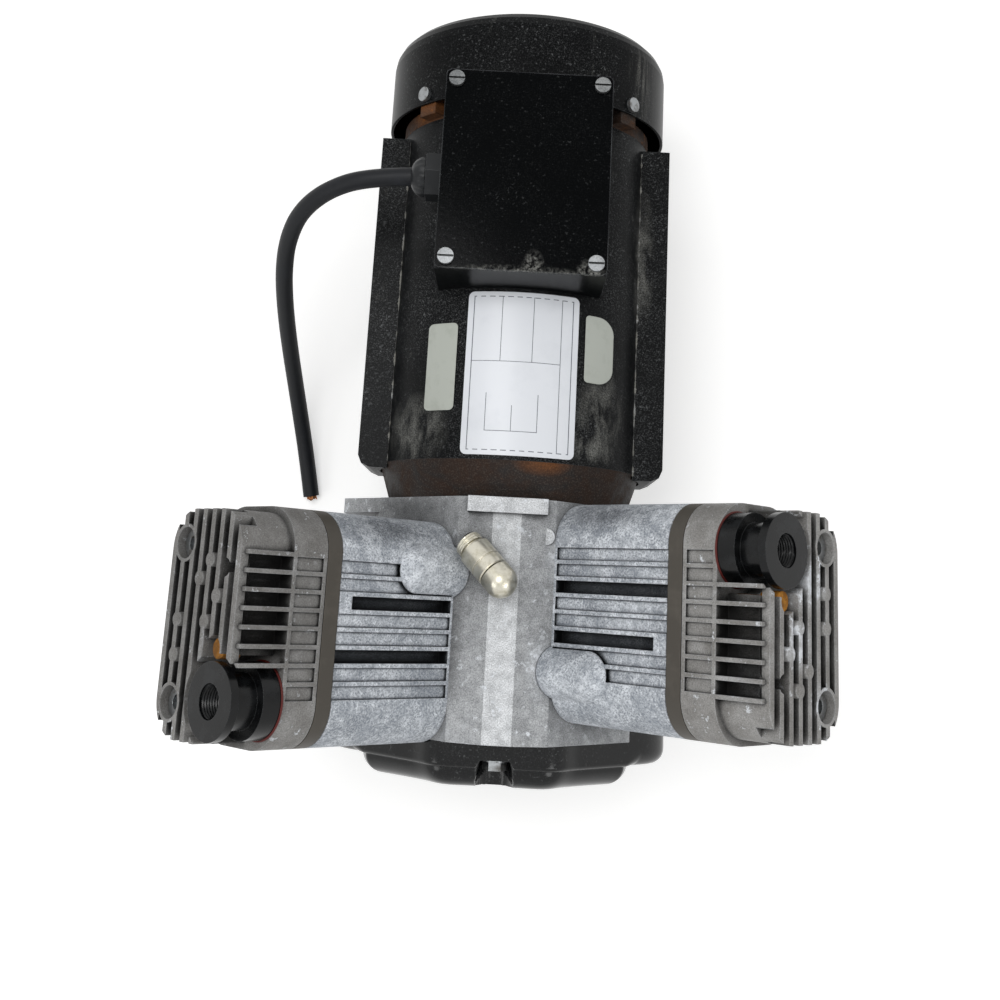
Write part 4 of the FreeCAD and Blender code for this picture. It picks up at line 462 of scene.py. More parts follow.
looks = {
    # the heads, sandy die castings: dull warm grey, painted shade between the fins and over the left head,
    # powder on the right one
    "headAluminium": (castMetal, {
        **castBase, "base": "#9b9a98", "stain": "#817f7c", "spotClumps": 0.17, "edgeChalkAndHighlight": 0.5,
        "splash": 1.0, "chalkFrom": 0.6, "creviceFrom": 0.38, "creviceLevel": 0.06, "grimeAndShadeLevel": 0.62,
        "chalkSpots": [((106, -117, 228), (16, 13, 16)), ((128, -102, 232), (13, 13, 13)),
                       ((140, -126, 218), (10, 10, 12)), ((134, -76, 226), (16, 14, 16)),
                       ((-105, -88, 228), (12, 9, 14)), ((116, -94, 215), (12, 9, 14)),
                       ((107, -127, 212), (9, 8, 12)), ((134, -139, 205), (14, 9, 16)),
                       ((90, -124, 200), (9, 8, 12))],
        "shadeSpots": [((-118, -92, 205), (80, 90, 80))]}),
    # the cylinders, the same alloy gone to oxide: blue-grey under white frost, brightest on edges (partly a
    # painted highlight), painted shade in the crevices and along each one's rear edge
    "barrelAluminium": (castMetal, {
        **castBase, "base": "#8b9199", "stain": "#767c84", "chalkFrom": 0.42, "chalkFilm": 0.65,
        "chalkBase": 0.2, "edgeChalkAndHighlight": 1.0,
        "shadeSpots": [((-62, -61, 182), (44, 10, 40)), ((42, -48, 180), (44, 9, 40))],
        "edge": 1.1, "creviceLevel": 0.02, "creviceFrom": 0.42, "crevice": 12, "sand": 0.24,
        "specular": 0.1, "splash": 0.6,
        "chalkSpots": [((-42, -79, 176), (26, 20, 34)), ((34, -126, 170), (18, 14, 24)),
                       ((60, -92, 190), (22, 12, 20)), ((-72, -112, 186), (26, 10, 20))]}),
    # the crankcase, cleaner: pale on top and darker on its slopes as painted light, painted shade on its
    # rear flange and the left of its roof, splashed with white
    "caseAluminium": (castMetal, {
        **castBase, "base": "#cdcfd1", "stain": "#aeb0b2", "spotClumps": 0.12,
        "chalkSpots": [((20, -118, 164), (10, 16, 14)), ((25, -70, 166), (7, 14, 12))],
        "edgeChalkAndHighlight": 0.7, "mottle": 6, "crevice": 40, "creviceFrom": 0.36,
        "creviceLevel": 0.12, "alone": False, "facetLighting": 0.3, "splash": 1.0, "splashFrom": 0.59, "sand": 0.46,
        "metallic": 0.1,
        "shadeSpots": [((-62, -47, 140), (50, 14, 50)), ((62, -46, 140), (44, 12, 50)),
                       ((-26, -110, 160), (9, 40, 20))]}),
    # gloss enamel on sheet steel: near-black with little dust
    "blackEnamel": (blackEnamel, enamelBase),
    # the same with dry runs down the right
    "cowlEnamel": (blackEnamel, {
        **enamelBase, "fine": 0.3, "smearSpots": [((62, 190, 140), (12, 30, 30))], "smearLevel": 0.5,
        "smearStretch": (1, 0.1, 1), "smearSize": 3, "veilFrom": 0.5}),
    # greyer with dust, wiped in smears beside the labels
    "dustyEnamel": (blackEnamel, {
        **enamelBase, "fine": 0.6, "base": "#0c0d0e", "rough": 0.36,
        "smearStretch": (1, 0.45, 1), "smearLevel": 0.75,
        "smearSpots": [((-50, -8, 148), (20, 20, 40)), ((44, 4, 145), (15, 24, 40)),
                       ((38, -14, 150), (22, 9, 30)), ((66, 92, 122), (8, 42, 16))]}),
    # the glossiest enamel, so that the cover's bends catch the light
    "coverEnamel": (blackEnamel, {
        **enamelBase, "fine": 0.14, "coarse": 0.3, "rough": 0.14, "specular": 0.3}),
    # the deepest black, chalky along its lower edge
    "lidEnamel": (blackEnamel, {
        **enamelBase, "coarse": 0.16, "fine": 0.05, "speckFrom": 0.65, "rough": 0.14, "base": "#020304",
        "edge": 0.9, "worn": "#7d8082", "smear": "#b8b8b2", "specular": 0.035, "smearFrom": 0.8,
        "smearStretch": (1, 1, 1), "smearSize": 2.4, "smearLevel": 0.95,
        "smearSpots": [((0, 60.5, 202), (50, 7, 10)), ((6, 66, 202), (6, 10, 8)),
                       ((34, 64, 202), (8, 9, 8))]}),
    # painted cast iron: brown-black with one orange blister
    "rustyIron": (rustyIron, {**rustBase, "orangeSpots": [((20, -24, 166), (20, 7, 10))]}),
    # the same, browner, and orange where the cowl opens
    "rustyShield": (rustyIron, {
        **rustBase, "brown": "#3c281b", "orange": "#96591f", "brownFrom": 0.36, "orangeFrom": 0.56,
        "orangeSpots": [((-50, 172, 140), (18, 16, 30))]}),
    # bare steel screws, rusted orange
    "rustySteel": (rustyIron, {
        **rustBase, "base": "#6b4a25", "brown": "#8f5f26", "orange": "#bd8436", "brownFrom": 0.35,
        "orangeFrom": 0.45, "metallic": 0.3}),
    # oiled electrical sheet: dark and dull, seen only through openings
    "laminatedSteel": (rustyIron, {
        **rustBase, "base": "#4a4d50", "brown": "#55504a", "orange": "#6a5a45", "metallic": 0.6}),
    # zinc-plated fasteners: pale grey with dull patches
    "zincSteel": (machinedMetal, metalBase),
    # the lid's screws, the lower two under white powder
    "chalkyScrews": (castMetal, {
        **castBase, "base": "#8a8c8c", "stain": "#5d5f60", "metallic": 0.7, "rough": 0.35, "edge": 0.3,
        "chalkSpots": [((0, 69, 204), (60, 8, 10))],
        "chalkFrom": 0.62}),
    # ground steel: the clearest sheen
    "bearingSteel": (machinedMetal, {**metalBase, "base": "#9a9da0", "rough": 0.22}),
    # nickel-plated brass: warm, pale and shiny
    "champagneNickel": (machinedMetal, {
        **metalBase, "base": "#d2cec0", "dirt": "#b4af9c", "patch": 4, "rough": 0.3, "dullRough": 0.4,
        "dirtMetal": 0.9}),
    # drawn copper: warm and bright
    "copperWire": (machinedMetal, {**metalBase, "base": "#b87a4c", "dirt": "#6b4226", "rough": 0.3}),
    # machined aluminium: soft even sheen
    "pistonAlloy": (machinedMetal, {**metalBase, "base": "#a8abad", "rough": 0.4}),
    # painted steel plate: dark warm brown, lighter on its edges
    "plateSteel": (mouldedPlastic, {
        **plasticBase, "base": "#4c4842", "grimeAndShade": "#5f5a53", "rough": 0.5, "grain": 0.7, "bump": 0.06,
        "edgeTone": "#7a746b"}),
    # moulded polyamide: black with a soft sheen
    "blackPlastic": (mouldedPlastic, {
        **plasticBase, "base": "#0a0b0c", "rough": 0.24, "grimeAndShade": "#26282a", "edgeTone": "#3d4042"}),
    # the gland's polyamide: a little greyer, rubbed pale on its edges
    "glandPlastic": (mouldedPlastic, {
        **plasticBase, "base": "#1a1c1e", "rough": 0.4, "edgeTone": "#6a6c6d"}),
    # the capacitor's can: plain grey
    "greyPlastic": (mouldedPlastic, {**plasticBase, "base": "#45484b", "grimeAndShade": "#6a6c6d"}),
    # the cord's jacket: matt blue-black
    "cordRubber": (mouldedPlastic, {
        **plasticBase, "base": "#101216", "grimeAndShade": "#24262b", "rough": 0.5, "grain": 1.1}),
    # moulded rubber: matt black
    "footRubber": (mouldedPlastic, {**plasticBase, "base": "#1a1b1c", "rough": 0.7}),
    # pressed fibre: the most matt
    "gasketFibre": (mouldedPlastic, {**plasticBase, "base": "#16181a", "rough": 0.8}),
    # printed vinyl: cold white, faintly grubby
    "labelVinyl": (mouldedPlastic, {
        **plasticBase, "base": "#e4e7ec", "grimeAndShade": "#ccd0d6", "grimeAndShadeLevel": 0.35, "patch": 22, "rough": 0.3,
        "grain": 3, "bump": 0.015}),
    # matt foil: greenish grey
    "foilLabel": (mouldedPlastic, {
        **plasticBase, "base": "#b4b8b0", "grimeAndShade": "#989c92", "grimeAndShadeLevel": 0.5, "patch": 9, "rough": 0.35,
        "grain": 3, "bump": 0.015}),
    # printing ink: grey lines
    "printInk": (mouldedPlastic, {**plasticBase, "base": "#5b5f68", "grimeAndShade": "#7a7d84", "rough": 0.4}),
    # filled fluoroplastic: dark brown
    "ringPlastic": (mouldedPlastic, {**plasticBase, "base": "#3c3833", "rough": 0.6}),
    # the terminal block: cream
    "creamPlastic": (mouldedPlastic, {**plasticBase, "base": "#e4e2da", "grimeAndShade": "#cfccc2", "rough": 0.4}),
    # silicone rubber: dark red
    "sealRubber": (mouldedPlastic, {**plasticBase, "base": "#57201c", "grimeAndShade": "#361613", "rough": 0.5}),
    # dried scale: rough, pale and matt
    "limeScale": (castMetal, {
        **castBase, "base": "#85847d", "stain": "#6c6a64", "chalkFrom": 0.5, "bump": 0.2,
        "metallic": 0.0, "creviceLevel": 0.6}),
}
finishes = {name: make(name, look) for name, (make, look) in looks.items()}
print("finishes:", len(finishes))

nodeFinish = {
    "headAluminium": ["left_cylinder_head", "right_cylinder_head"],
    "barrelAluminium": ["left_cylinder", "right_cylinder"],
    "caseAluminium": ["crankcase"],
    "blackEnamel": ["terminal_box", "motor_foot"],
    "cowlEnamel": ["fan_cowl"],
    "rustyShield": ["rear_end_shield"],
    "dustyEnamel": ["motor_shell", "left_side_channel", "right_side_channel"],
    "coverEnamel": ["front_cover"],
    "lidEnamel": ["terminal_box_lid"],
    "rustyIron": ["drive_end_shield"],
    "rustySteel": ["port_screws"],
    "laminatedSteel": ["stator_core", "rotor_core", "counterweight"],
    "chalkyScrews": ["lid_screws"],
    "zincSteel": ["front_cover_bolts", "tie_bolts", "cowl_screws", "head_bolts", "reed_valves",
                  "relief_valve_spring", "motor_shaft", "crankpin_screw"],
    "bearingSteel": ["front_bearing", "rear_bearing", "crank", "left_rod_bearing", "right_rod_bearing",
                     "left_wrist_pin", "right_wrist_pin"],
    "champagneNickel": ["relief_valve_body", "relief_valve_cap", "relief_valve_poppet"],
    "copperWire": ["stator_windings", "cord_conductors"],
    "pistonAlloy": ["left_connecting_rod", "right_connecting_rod", "left_piston", "right_piston"],
    "plateSteel": ["left_valve_plate", "right_valve_plate"],
    "blackPlastic": ["left_port_fitting", "right_port_fitting", "cooling_fan"],
    "glandPlastic": ["cable_gland", "gland_nut"],
    "greyPlastic": ["run_capacitor"],
    "cordRubber": ["power_cord"],
    "footRubber": ["rubber_feet"],
    "gasketFibre": ["head_gaskets"],
    "labelVinyl": ["main_label"],
    "foilLabel": ["side_labels"],
    "ringPlastic": ["left_piston_rings", "right_piston_rings"],
    "creamPlastic": ["terminal_block"],
}


def dressNodes():
    dressed = 0
    for finish, names in nodeFinish.items():
        for name in names:
            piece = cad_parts[name]
            for place in piece.material_slots:
                place.material = finishes[finish]
            dressed += 1
    print("dressed nodes:", dressed)


# the mains cord
cord = {
    "route": [
        (-57, 115.5, 182), (-80, 114.6, 180), (-100.7, 110.1, 170.7), (-116.5, 102.3, 155.3),
        (-125.5, 91.7, 135.9), (-129.8, 79.8, 115.3), (-131.5, 67.3, 94.6), (-131.9, 54.4, 74.1),
        (-131.4, 40.8, 54.2), (-130.1, 25.8, 35.4), (-127.8, 8.3, 19.5), (-124.3, -12.2, 8.4),
        (-120, -35, 4.9),
    ],
    "diameter": 9.5, "strandRadius": 0.34, "strandsPerCore": 7, "coreRadius": 1.25, "coreSpread": 2.0,
    "strandLength": 2.6, "shortest": 0.65, "strandRoot": 1.0, "splay": 0.16,
}


def makeCord():
    route = np.array(cord["route"])
    data = bpy.data.curves.new("mainsCord", "CURVE")
    data.dimensions = "3D"
    data.bevel_depth = cord["diameter"] / 2 * mm
    data.bevel_resolution = 8
    data.use_fill_caps = True
    data.resolution_u = 10
    spline = data.splines.new("NURBS")
    spline.points.add(len(route) - 1)
    spline.points.foreach_set("co", np.c_[route * mm, np.ones(len(route))].ravel())
    spline.order_u = 3
    spline.use_endpoint_u = True
    data.materials.append(finishes["cordRubber"])
    piece = bpy.data.objects.new("mainsCord", data)
    bpy.context.scene.collection.objects.link(piece)

    # bare strands: three cores of fine wires fan out of the cut end, each wire a straight tube of six sides
    way = frameOf(route[-1] - route[-2])
    points, faces, sides = [], [], 6
    ring = np.linspace(0, 2 * np.pi, sides, endpoint=False)
    for core in range(3):
        coreTurn = math.radians(90 + 120 * core)
        centre = cord["coreSpread"] * (way[0] * math.cos(coreTurn) + way[1] * math.sin(coreTurn))
        for wire in range(cord["strandsPerCore"]):
            turn = 2 * math.pi * wire / (cord["strandsPerCore"] - 1)
            reach = 0 if wire == cord["strandsPerCore"] - 1 else cord["coreRadius"] - cord["strandRadius"]
            foot = centre + reach * (way[0] * math.cos(turn) + way[1] * math.sin(turn))
            splay = rng.normal(0, cord["splay"], 2)
            length = cord["strandLength"] * rng.uniform(cord["shortest"], 1.0)
            tip = foot + way[2] * length + way[0] * splay[0] + way[1] * splay[1]
            rim = cord["strandRadius"] * (np.outer(np.cos(ring), way[0]) + np.outer(np.sin(ring), way[1]))
            tube = [spot + rim for spot in (foot - way[2] * cord["strandRoot"], tip)]
            start = len(points) * sides
            points += tube
            faces += gridFaces(2, sides, start=start)
            faces.append(list(range(start, start + sides))[::-1])
            faces.append(list(range(start + sides, start + 2 * sides)))
    strands = makeMesh("cordStrands", np.vstack(points) + route[-1], faces, finishes["copperWire"],
                       smooth=False)
    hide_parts("power_cord")
    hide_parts("cord_conductors")
    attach(piece, body)
    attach(strands, body)
    print("cord made")


# front cover
cover = {
    "half": [(58, -75.5), (88, -38), (88, 1.0), (38, 49.5), (30, 60)], "soften": 4, "columns": 480,
    "rear": -138.2, "face": -168, "rise": 9, "dome": 68, "domeEdge": 10, "elbow": 7, "wall": 2.6,
    "seats": [(0, 50), (76, -12), (-76, -12), (48, -60), (-48, -60)], "seatRadius": 7.0, "seatSlope": 2.0,
    "seatFloor": -164, "notchFrom": 50, "rim": 0.6, "ring": 2.5, "elbowShare": 0.9, "tightElbow": 2.2,
    "skirtRows": 9, "elbowRows": 10, "ringRows": 12, "domeRows": 42, "samples": 4000, "reach": 12,
}


def coverRadius(turns):
    # distance from the axis to the outline at each turn; a bell-shaped average a few degrees wide
    # rounds the corners
    half = np.array(cover["half"])
    ring = np.vstack([half, half[::-1] * [-1, 1], half[:1]])
    along = np.concatenate([[0], np.cumsum(np.hypot(*np.diff(ring, axis=0).T))])
    s = np.linspace(0, along[-1], cover["samples"], endpoint=False)
    x, z = (np.interp(s, along, ring[:, i]) for i in (0, 1))
    radius = np.interp(turns, np.arctan2(z, x), np.hypot(x, z), period=2 * np.pi)
    step = 360 / len(turns)
    reach = int(cover["reach"] / step)
    shifts = np.arange(-reach, reach + 1)
    weights = np.exp(-0.5 * (shifts * step / cover["soften"]) ** 2)
    return sum(w * np.roll(radius, k) for k, w in zip(shifts, weights)) / weights.sum()


def makeCover():
    # rows of (radius, y) over all turns: the skirt from its rear edge, a quarter-round elbow, a flat
    # ring and a low dome; the inside repeats them one wall thickness further in
    c = cover
    turns = np.linspace(0, 2 * np.pi, c["columns"], endpoint=False)
    edge = coverRadius(turns)
    flat = np.ones_like(edge)
    dome = np.minimum(c["dome"], edge - c["ring"])
    bend = np.clip((edge - dome) * c["elbowShare"], c["tightElbow"], c["elbow"])
    quarter = np.linspace(0, np.pi / 2, c["elbowRows"])[1:]
    down = np.linspace(0, 1, c["skirtRows"])
    outside = [(edge - c["rim"], c["rear"] * flat)]
    outside += [(edge, (c["rear"] - c["rim"]) * (1 - s) + (c["face"] + bend) * s) for s in down]
    outside += [(edge - bend + bend * np.cos(a), c["face"] + bend - bend * np.sin(a)) for a in quarter]
    across = np.linspace(0, 1, c["ringRows"])[1:]
    outside += [((edge - bend) * (1 - s) + dome * s, c["face"] * flat) for s in across]
    outside += [(dome - c["domeEdge"] * (1 - np.cos(a)), (c["face"] - c["rise"] * np.sin(a)) * flat)
                for a in quarter]
    top = (c["face"] - c["rise"]) * flat
    outside += [((dome - c["domeEdge"]) * s, top) for s in np.linspace(1, 0, c["domeRows"])[1:-1]]
    outside += [(pole * flat, top)]
    inside = [(np.maximum(r - c["wall"], pole), y + c["wall"]) for r, y in outside[3:-3]]
    rows = inside[::-1] + [(edge - c["wall"], c["rear"] * flat)] + outside
    r = np.array([row[0] for row in rows])
    y = np.array([row[1] for row in rows])
    x, z = r * np.cos(turns), r * np.sin(turns)
    # the bolt seats and the notch over the top bolt push the sheet back to their floor
    inner = np.arange(len(rows))[:, None] < len(inside)
    floor = np.where(inner, c["seatFloor"] + c["wall"], c["seatFloor"])
    near = np.where(z > c["notchFrom"], np.abs(x), np.inf)
    for seatX, seatZ in c["seats"]:
        near = np.minimum(near, np.hypot(x - seatX, z - seatZ))
    inSeat = np.clip((c["seatRadius"] + c["seatSlope"] - near) / c["seatSlope"], 0, 1)
    y = np.maximum(y, y + (floor - y) * inSeat)
    points = np.stack([x, y, z + bank["axisHeight"]], -1).reshape(-1, 3)
    piece = makeMesh("frontCover", points, turnedFaces(len(rows), c["columns"]), finishes["coverEnamel"])
    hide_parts("front_cover")
    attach(piece, body)
    print("front cover made:", len(points), "points")


# relief valve
valve = {
    "foot": (-18.9, -63.5, 172.2), "way": (22.4, -23.2, 14.1), "radius": 7.95, "length": 35, "stem": 4.5,
    "elbow": 5.5, "facets": 96, "neck": 2.6, "threadCore": 1.1,
    "thread": {"pitch": 1.3, "depth": 0.55, "from": 0.9, "to": 4.3},
    # (step in from the radius, height) of the barrel with its two grooves
    "barrel": [(2.4, 4.6), (2.4, 5.6), (0.6, 5.8), (0.1, 6.3), (0, 7.0), (0, 15.0), (0.5, 15.3), (0.5, 15.7),
               (0, 16.0), (0, 20.8), (0.6, 21.3)],
    "bodyBore": 7.1, "bodyFloor": 13.7, "capFoot": 21.7, "capBore": 6.3, "capCeiling": 31.8,
}


def makeReliefValve():
    r, length = valve["radius"], valve["length"]
    dome = np.radians(np.linspace(0, 90, 14))
    # both pieces are hollow round the poppet and its spring
    bore, lip, ceiling = valve["capBore"], valve["capFoot"], valve["capCeiling"]
    cupProfile = [(pole, ceiling), (bore, ceiling), (bore, lip), (r - 0.6, lip), (r, lip + 0.5)]
    cupProfile += [(r * math.cos(a), length - r + r * math.sin(a)) for a in dome]
    cupProfile[-1] = (pole, length)
    thread = valve["thread"]
    steps = int((thread["to"] - thread["from"]) / thread["pitch"] * 8)
    bodyProfile = [(pole, 0.0), (r - valve["neck"], 0.0), (r - valve["neck"] + 1.0, 0.4)]
    bodyProfile += [(r - valve["threadCore"], z) for z in np.linspace(thread["from"], thread["to"], steps)]
    bodyProfile += [(r - step, z) for step, z in valve["barrel"]]
    bodyProfile += [(valve["bodyBore"], valve["barrel"][-1][1]), (valve["bodyBore"], valve["bodyFloor"]),
                    (pole, valve["bodyFloor"])]

    def threadWave(t, z, radius):
        # a screw thread: depth times a triangle wave of z / pitch minus turn
        phase = (z / thread["pitch"] - t / (2 * np.pi)) % 1
        inside = (z >= thread["from"] - 0.01) & (z <= thread["to"] + 0.01)
        return np.where(inside, -thread["depth"] * np.abs(2 * phase - 1), 0)

    axes = frameOf(valve["way"])
    foot = np.array(valve["foot"])
    root = foot + valve["elbow"] * axes[2]
    for name, profile, wobble, node in (
            ("reliefValveBody", bodyProfile, threadWave, "relief_valve_body"),
            ("reliefValveCap", cupProfile, None, "relief_valve_cap")):
        points = turnedGrid(profile, valve["facets"], wobble) @ axes + foot
        faces = turnedFaces(len(profile), valve["facets"])
        if name == "reliefValveBody":
            # elbow and stub: a ball inside the neck and a short tube down into the roof
            ball = np.radians(np.linspace(-89, 89, 24))
            neck, stem = r - valve["neck"], valve["stem"]
            elbow = [(neck * math.cos(a), neck * math.sin(a)) for a in ball]
            stub = [(stem, -18), (stem, -5.0), (stem + 1.0, -4.8), (stem + 1.0, -2.2)]
            for part in (elbow, stub):
                faces += turnedFaces(len(part), valve["facets"], start=len(points))
                points = np.vstack([points, turnedGrid(part, valve["facets"]) + root])
        piece = makeMesh(name, points, faces, finishes["champagneNickel"])
        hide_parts(node)
        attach(piece, body)
    print("relief valve made")


# gland nut
glandNut = {"spot": (-57, 115.5, 182), "radius": 10.2, "bore": 4.85, "length": 7.0, "lobes": 12,
            "lobeDepth": 0.45, "lobesFrom": 9.0, "facets": 144}


def makeGlandNut():
    g = glandNut
    profile = [(g["bore"], 0.0), (g["bore"] + 0.6, -0.25), (6.6, 0.3), (8.2, 1.4), (9.3, 2.8),
               (g["radius"], 4.4), (g["radius"], 6.6), (9.4, g["length"]), (g["bore"], g["length"])]

    def lobes(t, z, radius):
        # grip lobes: a shallow cosine round the nut, only on its widest band
        return np.where(radius > g["lobesFrom"], -g["lobeDepth"] * (0.5 + 0.5 * np.cos(g["lobes"] * t)), 0)

    points = turnedGrid(profile, g["facets"], lobes)
    axes = frameOf((1.0, 0.0, 0.0))
    faces = gridFaces(len(profile), g["facets"], wrapRows=True)
    piece = makeMesh("glandNut", points @ axes + np.array(g["spot"]), faces, finishes["glandPlastic"])
    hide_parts("gland_nut")
    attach(piece, body)
    print("gland nut made")


# ports: thread and seal
port = {"x": -15, "y": 31, "top": 186, "bore": 7.42, "pitch": 1.337, "depth": 0.62, "length": 14.5,
        "mouth": 0.6, "rows": 90, "columns": 72, "seal": (17.0, 0.5), "sealAt": 160.6, "sealSides": 16,
        "sealColumns": 96}


def makePortDetails():
    rows, columns = port["rows"], port["columns"]
    for side in ("left", "right"):
        axes, origin = bankFrame(side)
        mouth = np.array([port["x"], port["y"], port["top"]])
        t = np.linspace(0, 2 * np.pi, columns, endpoint=False)[None, :]
        z = np.linspace(-port["length"], -port["mouth"], rows)[:, None]
        # a pipe thread seen from inside: radius = bore - depth * triangle(z / pitch - turn)
        r = port["bore"] - port["depth"] * (1 - np.abs(2 * ((z / port["pitch"] - t / (2 * np.pi)) % 1) - 1))
        spots = np.stack([r * np.cos(t), r * np.sin(t), z + 0 * t], -1).reshape(-1, 3)
        faces = [face[::-1] for face in gridFaces(rows, columns)]
        thread = makeMesh(side + "PortThread", (spots + mouth) @ axes + origin, faces,
                          finishes["blackPlastic"])
        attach(thread, body)
    print("ports made")


# labels
label = {
    "radius": 70.32, "thick": 0.38, "rows": 60, "columns": 40, "ruleLift": 0.03, "ruleColumns": 12,
    "main": {"x": (-25.4, 31.4), "y": (-20.9, 61.9), "corners": (3, 3)},
    "rules": [(-22.5, 28.5, -18.6, -18.2), (-22.5, 28.5, 59.2, 59.6), (-22.5, -22.1, -18.6, 59.6),
              (28.1, 28.5, -18.6, 59.6), (22.4, 22.7, -18.6, 59.6), (-22.5, 22.4, 26.0, 26.3),
              (-8.0, -7.7, 26.0, 59.6), (8.0, 8.3, 26.0, 59.6), (-14.0, 12.0, -9.0, -8.7),
              (-14.0, -13.7, -9.0, 10.0), (12.0, 12.3, -9.0, 10.0), (-1.0, -0.7, -9.0, 4.0)],
    "side": [{"x": (-45.4, -30.1), "y": (1.1, 45.9), "corners": (2.5, 2.5)},
             {"x": (35.1, 50.4), "y": (19.1, 53.9), "corners": (2, 8.5)}],
}


def labelSheet(spec):
    # a rounded rectangle laid on the shell: at each y the side edges draw in by R - sqrt(R^2 - d^2),
    # d being how far y is into the corner
    low, high = spec["y"]
    s = np.sin(np.linspace(-np.pi / 2, np.pi / 2, label["rows"]))
    y = (low + high) / 2 + (high - low) / 2 * s
    edges = []
    for corner, x, inward in ((spec["corners"][0], spec["x"][0], 1),
                              (spec["corners"][1], spec["x"][1], -1)):
        d = np.clip(corner - np.minimum(y - low, high - y), 0, corner)
        edges.append(x + inward * (corner - np.sqrt(np.maximum(corner ** 2 - d ** 2, 0))))
    share = np.linspace(0, 1, label["columns"])
    x = edges[0][:, None] * (1 - share) + edges[1][:, None] * share
    x = np.concatenate([x, x[:, ::-1]], 1)
    r = np.full(x.shape, label["radius"])
    r[:, :label["columns"]] += label["thick"]
    z = bank["axisHeight"] + np.sqrt(r ** 2 - x ** 2)
    points = np.stack([x, y[:, None] + 0 * x, z], -1).reshape(-1, 3)
    wide = 2 * label["columns"]
    faces = [face[::-1] for face in gridFaces(label["rows"], wide)]
    last = (label["rows"] - 1) * wide
    return points, faces + [list(range(wide)), list(range(last, last + wide))[::-1]]


def makeLabels():
    points, faces = labelSheet(label["main"])
    main = makeMesh("mainLabel", points, faces, finishes["labelVinyl"])
    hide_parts("main_label")
    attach(main, body)
    points, faces = [], []
    for x0, x1, y0, y1 in label["rules"]:
        # each printed rule is a thin patch just above the sheet
        x = np.linspace(x0, x1, label["ruleColumns"] if x1 - x0 > 1 else 2)
        start = len(points)
        radius = label["radius"] + label["thick"] + label["ruleLift"]
        z = bank["axisHeight"] + np.sqrt(radius ** 2 - x ** 2)
        points += [(a, y, h) for y in (y0, y1) for a, h in zip(x, z)]
        faces += gridFaces(2, len(x), wrapColumns=False, start=start)
    rules = makeMesh("labelRules", points, faces, finishes["printInk"])
    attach(rules, body)
    left, right = (labelSheet(spec) for spec in label["side"])
    both = left[1] + [[i + len(left[0]) for i in face] for face in right[1]]
    side = makeMesh("sideLabels", np.vstack([left[0], right[0]]), both, finishes["foilLabel"])
    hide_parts("side_labels")
    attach(side, body)
    print("labels made")


# lumps on the castings
lump = {
    "finTop": 185.55, "finDepth": 8.5, "pitch": 7.2, "radius": 3.4, "rise": 0.5, "sink": 0.25, "columns": 28,
    "domeAt": (0.96, 0.85, 0.65, 0.4, 0.15), "portClear": 24, "bolt": (17, 34), "boltClear": 10,
    "spots": [(0, -27), (1, -19), (3, -1), (0, -1), (-1, -12), (1, 17), (3, 14)],
}


def makeLumps():
    # ejector pads: round pads as high as the fins, domed by rise * (1 - (r / R)^2), with a short
    # straight side; none where the port connector or a bolt is
    pad = [(lump["radius"] * 0.98, -lump["finDepth"]), (lump["radius"], -0.6)]
    pad += [(lump["radius"] * f, lump["rise"] * (1 - f ** 2) - lump["sink"]) for f in lump["domeAt"]]
    pad += [(pole, lump["rise"] - lump["sink"])]
    for side in ("left", "right"):
        axes, origin = bankFrame(side)
        points, faces = [], []
        for column, y in lump["spots"]:
            x = (column - 0.5) * lump["pitch"]
            fromPort = math.hypot(x - port["x"], y - port["y"])
            fromBolt = math.hypot(x - lump["bolt"][0], abs(y) - lump["bolt"][1])
            if fromPort < lump["portClear"] or fromBolt < lump["boltClear"]:
                continue
            start = sum(map(len, points))
            points.append(turnedGrid(pad, lump["columns"]) + np.array([x, y, lump["finTop"]]))
            faces += turnedFaces(len(pad), lump["columns"], start=start)
        piece = makeMesh(side + "FinPads", np.vstack(points) @ axes + origin, faces,
                         finishes["headAluminium"])
        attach(piece, body)
    print("lumps made")


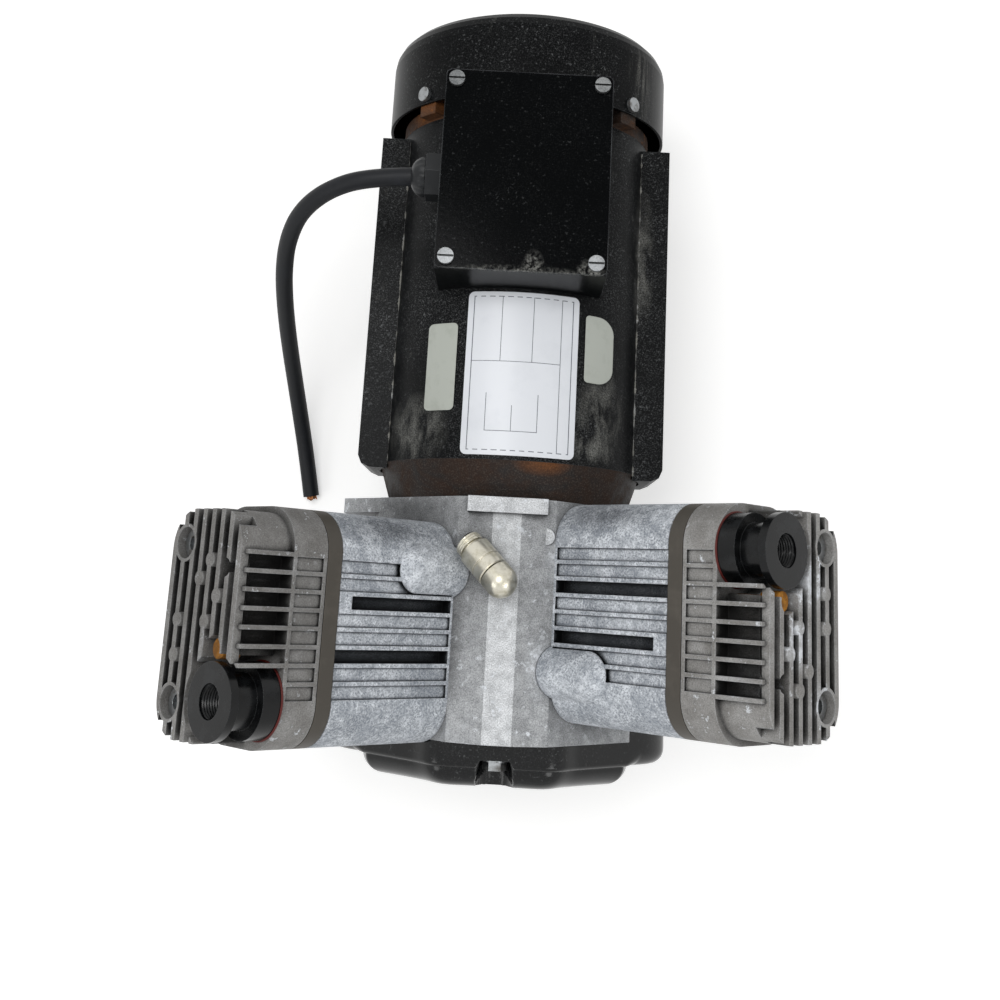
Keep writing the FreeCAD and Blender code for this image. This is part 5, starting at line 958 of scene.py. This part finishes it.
def makePortSeals():
    # a thin red ring round each connector's foot
    outer, thick = port["seal"]
    sides, columns = port["sealSides"], port["sealColumns"]
    t = np.linspace(0, 2 * np.pi, sides, endpoint=False)
    profile = np.stack([outer - thick + thick * np.cos(t), port["sealAt"] + thick * np.sin(t)], -1)
    for side in ("left", "right"):
        axes, origin = bankFrame(side)
        points = turnedGrid(profile, columns) + np.array([port["x"], port["y"], 0])
        piece = makeMesh(side + "PortSeal", points @ axes + origin,
                         gridFaces(sides, columns, wrapRows=True), finishes["sealRubber"])
        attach(piece, body)
    print("port seals made")


# lime scale along the side channels
scale = {"seamX": 64.4, "seamZ": 28.0, "from": -24, "to": 154, "steps": 620, "width": 0.95, "height": 0.5,
         "around": 7, "knots": 60, "fineKnots": 260, "fineLeast": 0.35, "patchy": 1.6, "swell": 1.5,
         "gap": 0.25, "least": 0.06}


def makeSeamScale():
    # a crust in the corner between channel and shell: a round bead whose width follows broken noise
    y = np.linspace(scale["from"], scale["to"], scale["steps"])
    for side, sign in (("left", -1), ("right", 1)):
        knots, fineKnots = scale["knots"], scale["fineKnots"]
        patches = rng.uniform(0, 1, knots) ** scale["patchy"]
        coarse = np.interp(y, np.linspace(y[0], y[-1], knots), patches)
        crumbs = rng.uniform(scale["fineLeast"], 1, fineKnots)
        fine = np.interp(y, np.linspace(y[0], y[-1], fineKnots), crumbs)
        size = np.clip(coarse * scale["swell"] - scale["gap"], scale["least"], 1) * fine
        a = np.linspace(0, 2 * np.pi, scale["around"], endpoint=False)[None, :]
        x = sign * (scale["seamX"] + np.cos(a) * scale["width"] * size[:, None])
        z = bank["axisHeight"] + scale["seamZ"] + np.sin(a) * scale["height"] * size[:, None]
        points = np.stack([x, y[:, None] + 0 * a, z], -1).reshape(-1, 3)
        faces = gridFaces(scale["steps"], scale["around"])
        faces = faces if sign < 0 else [face[::-1] for face in faces]
        last = (scale["steps"] - 1) * scale["around"]
        ends = [list(range(scale["around"])), list(range(last, last + scale["around"]))[::-1]]
        faces += [end[::-1] for end in ends] if sign < 0 else ends
        piece = makeMesh(side + "SeamScale", points, faces, finishes["limeScale"])
        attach(piece, body)
    print("seam scale made")


makeCamera()
makeStudio()
makeCord()
dressNodes()
makeCover()
makeReliefValve()
makeGlandNut()
makePortDetails()
makePortSeals()
makeLabels()
makeLumps()
makeSeamScale()
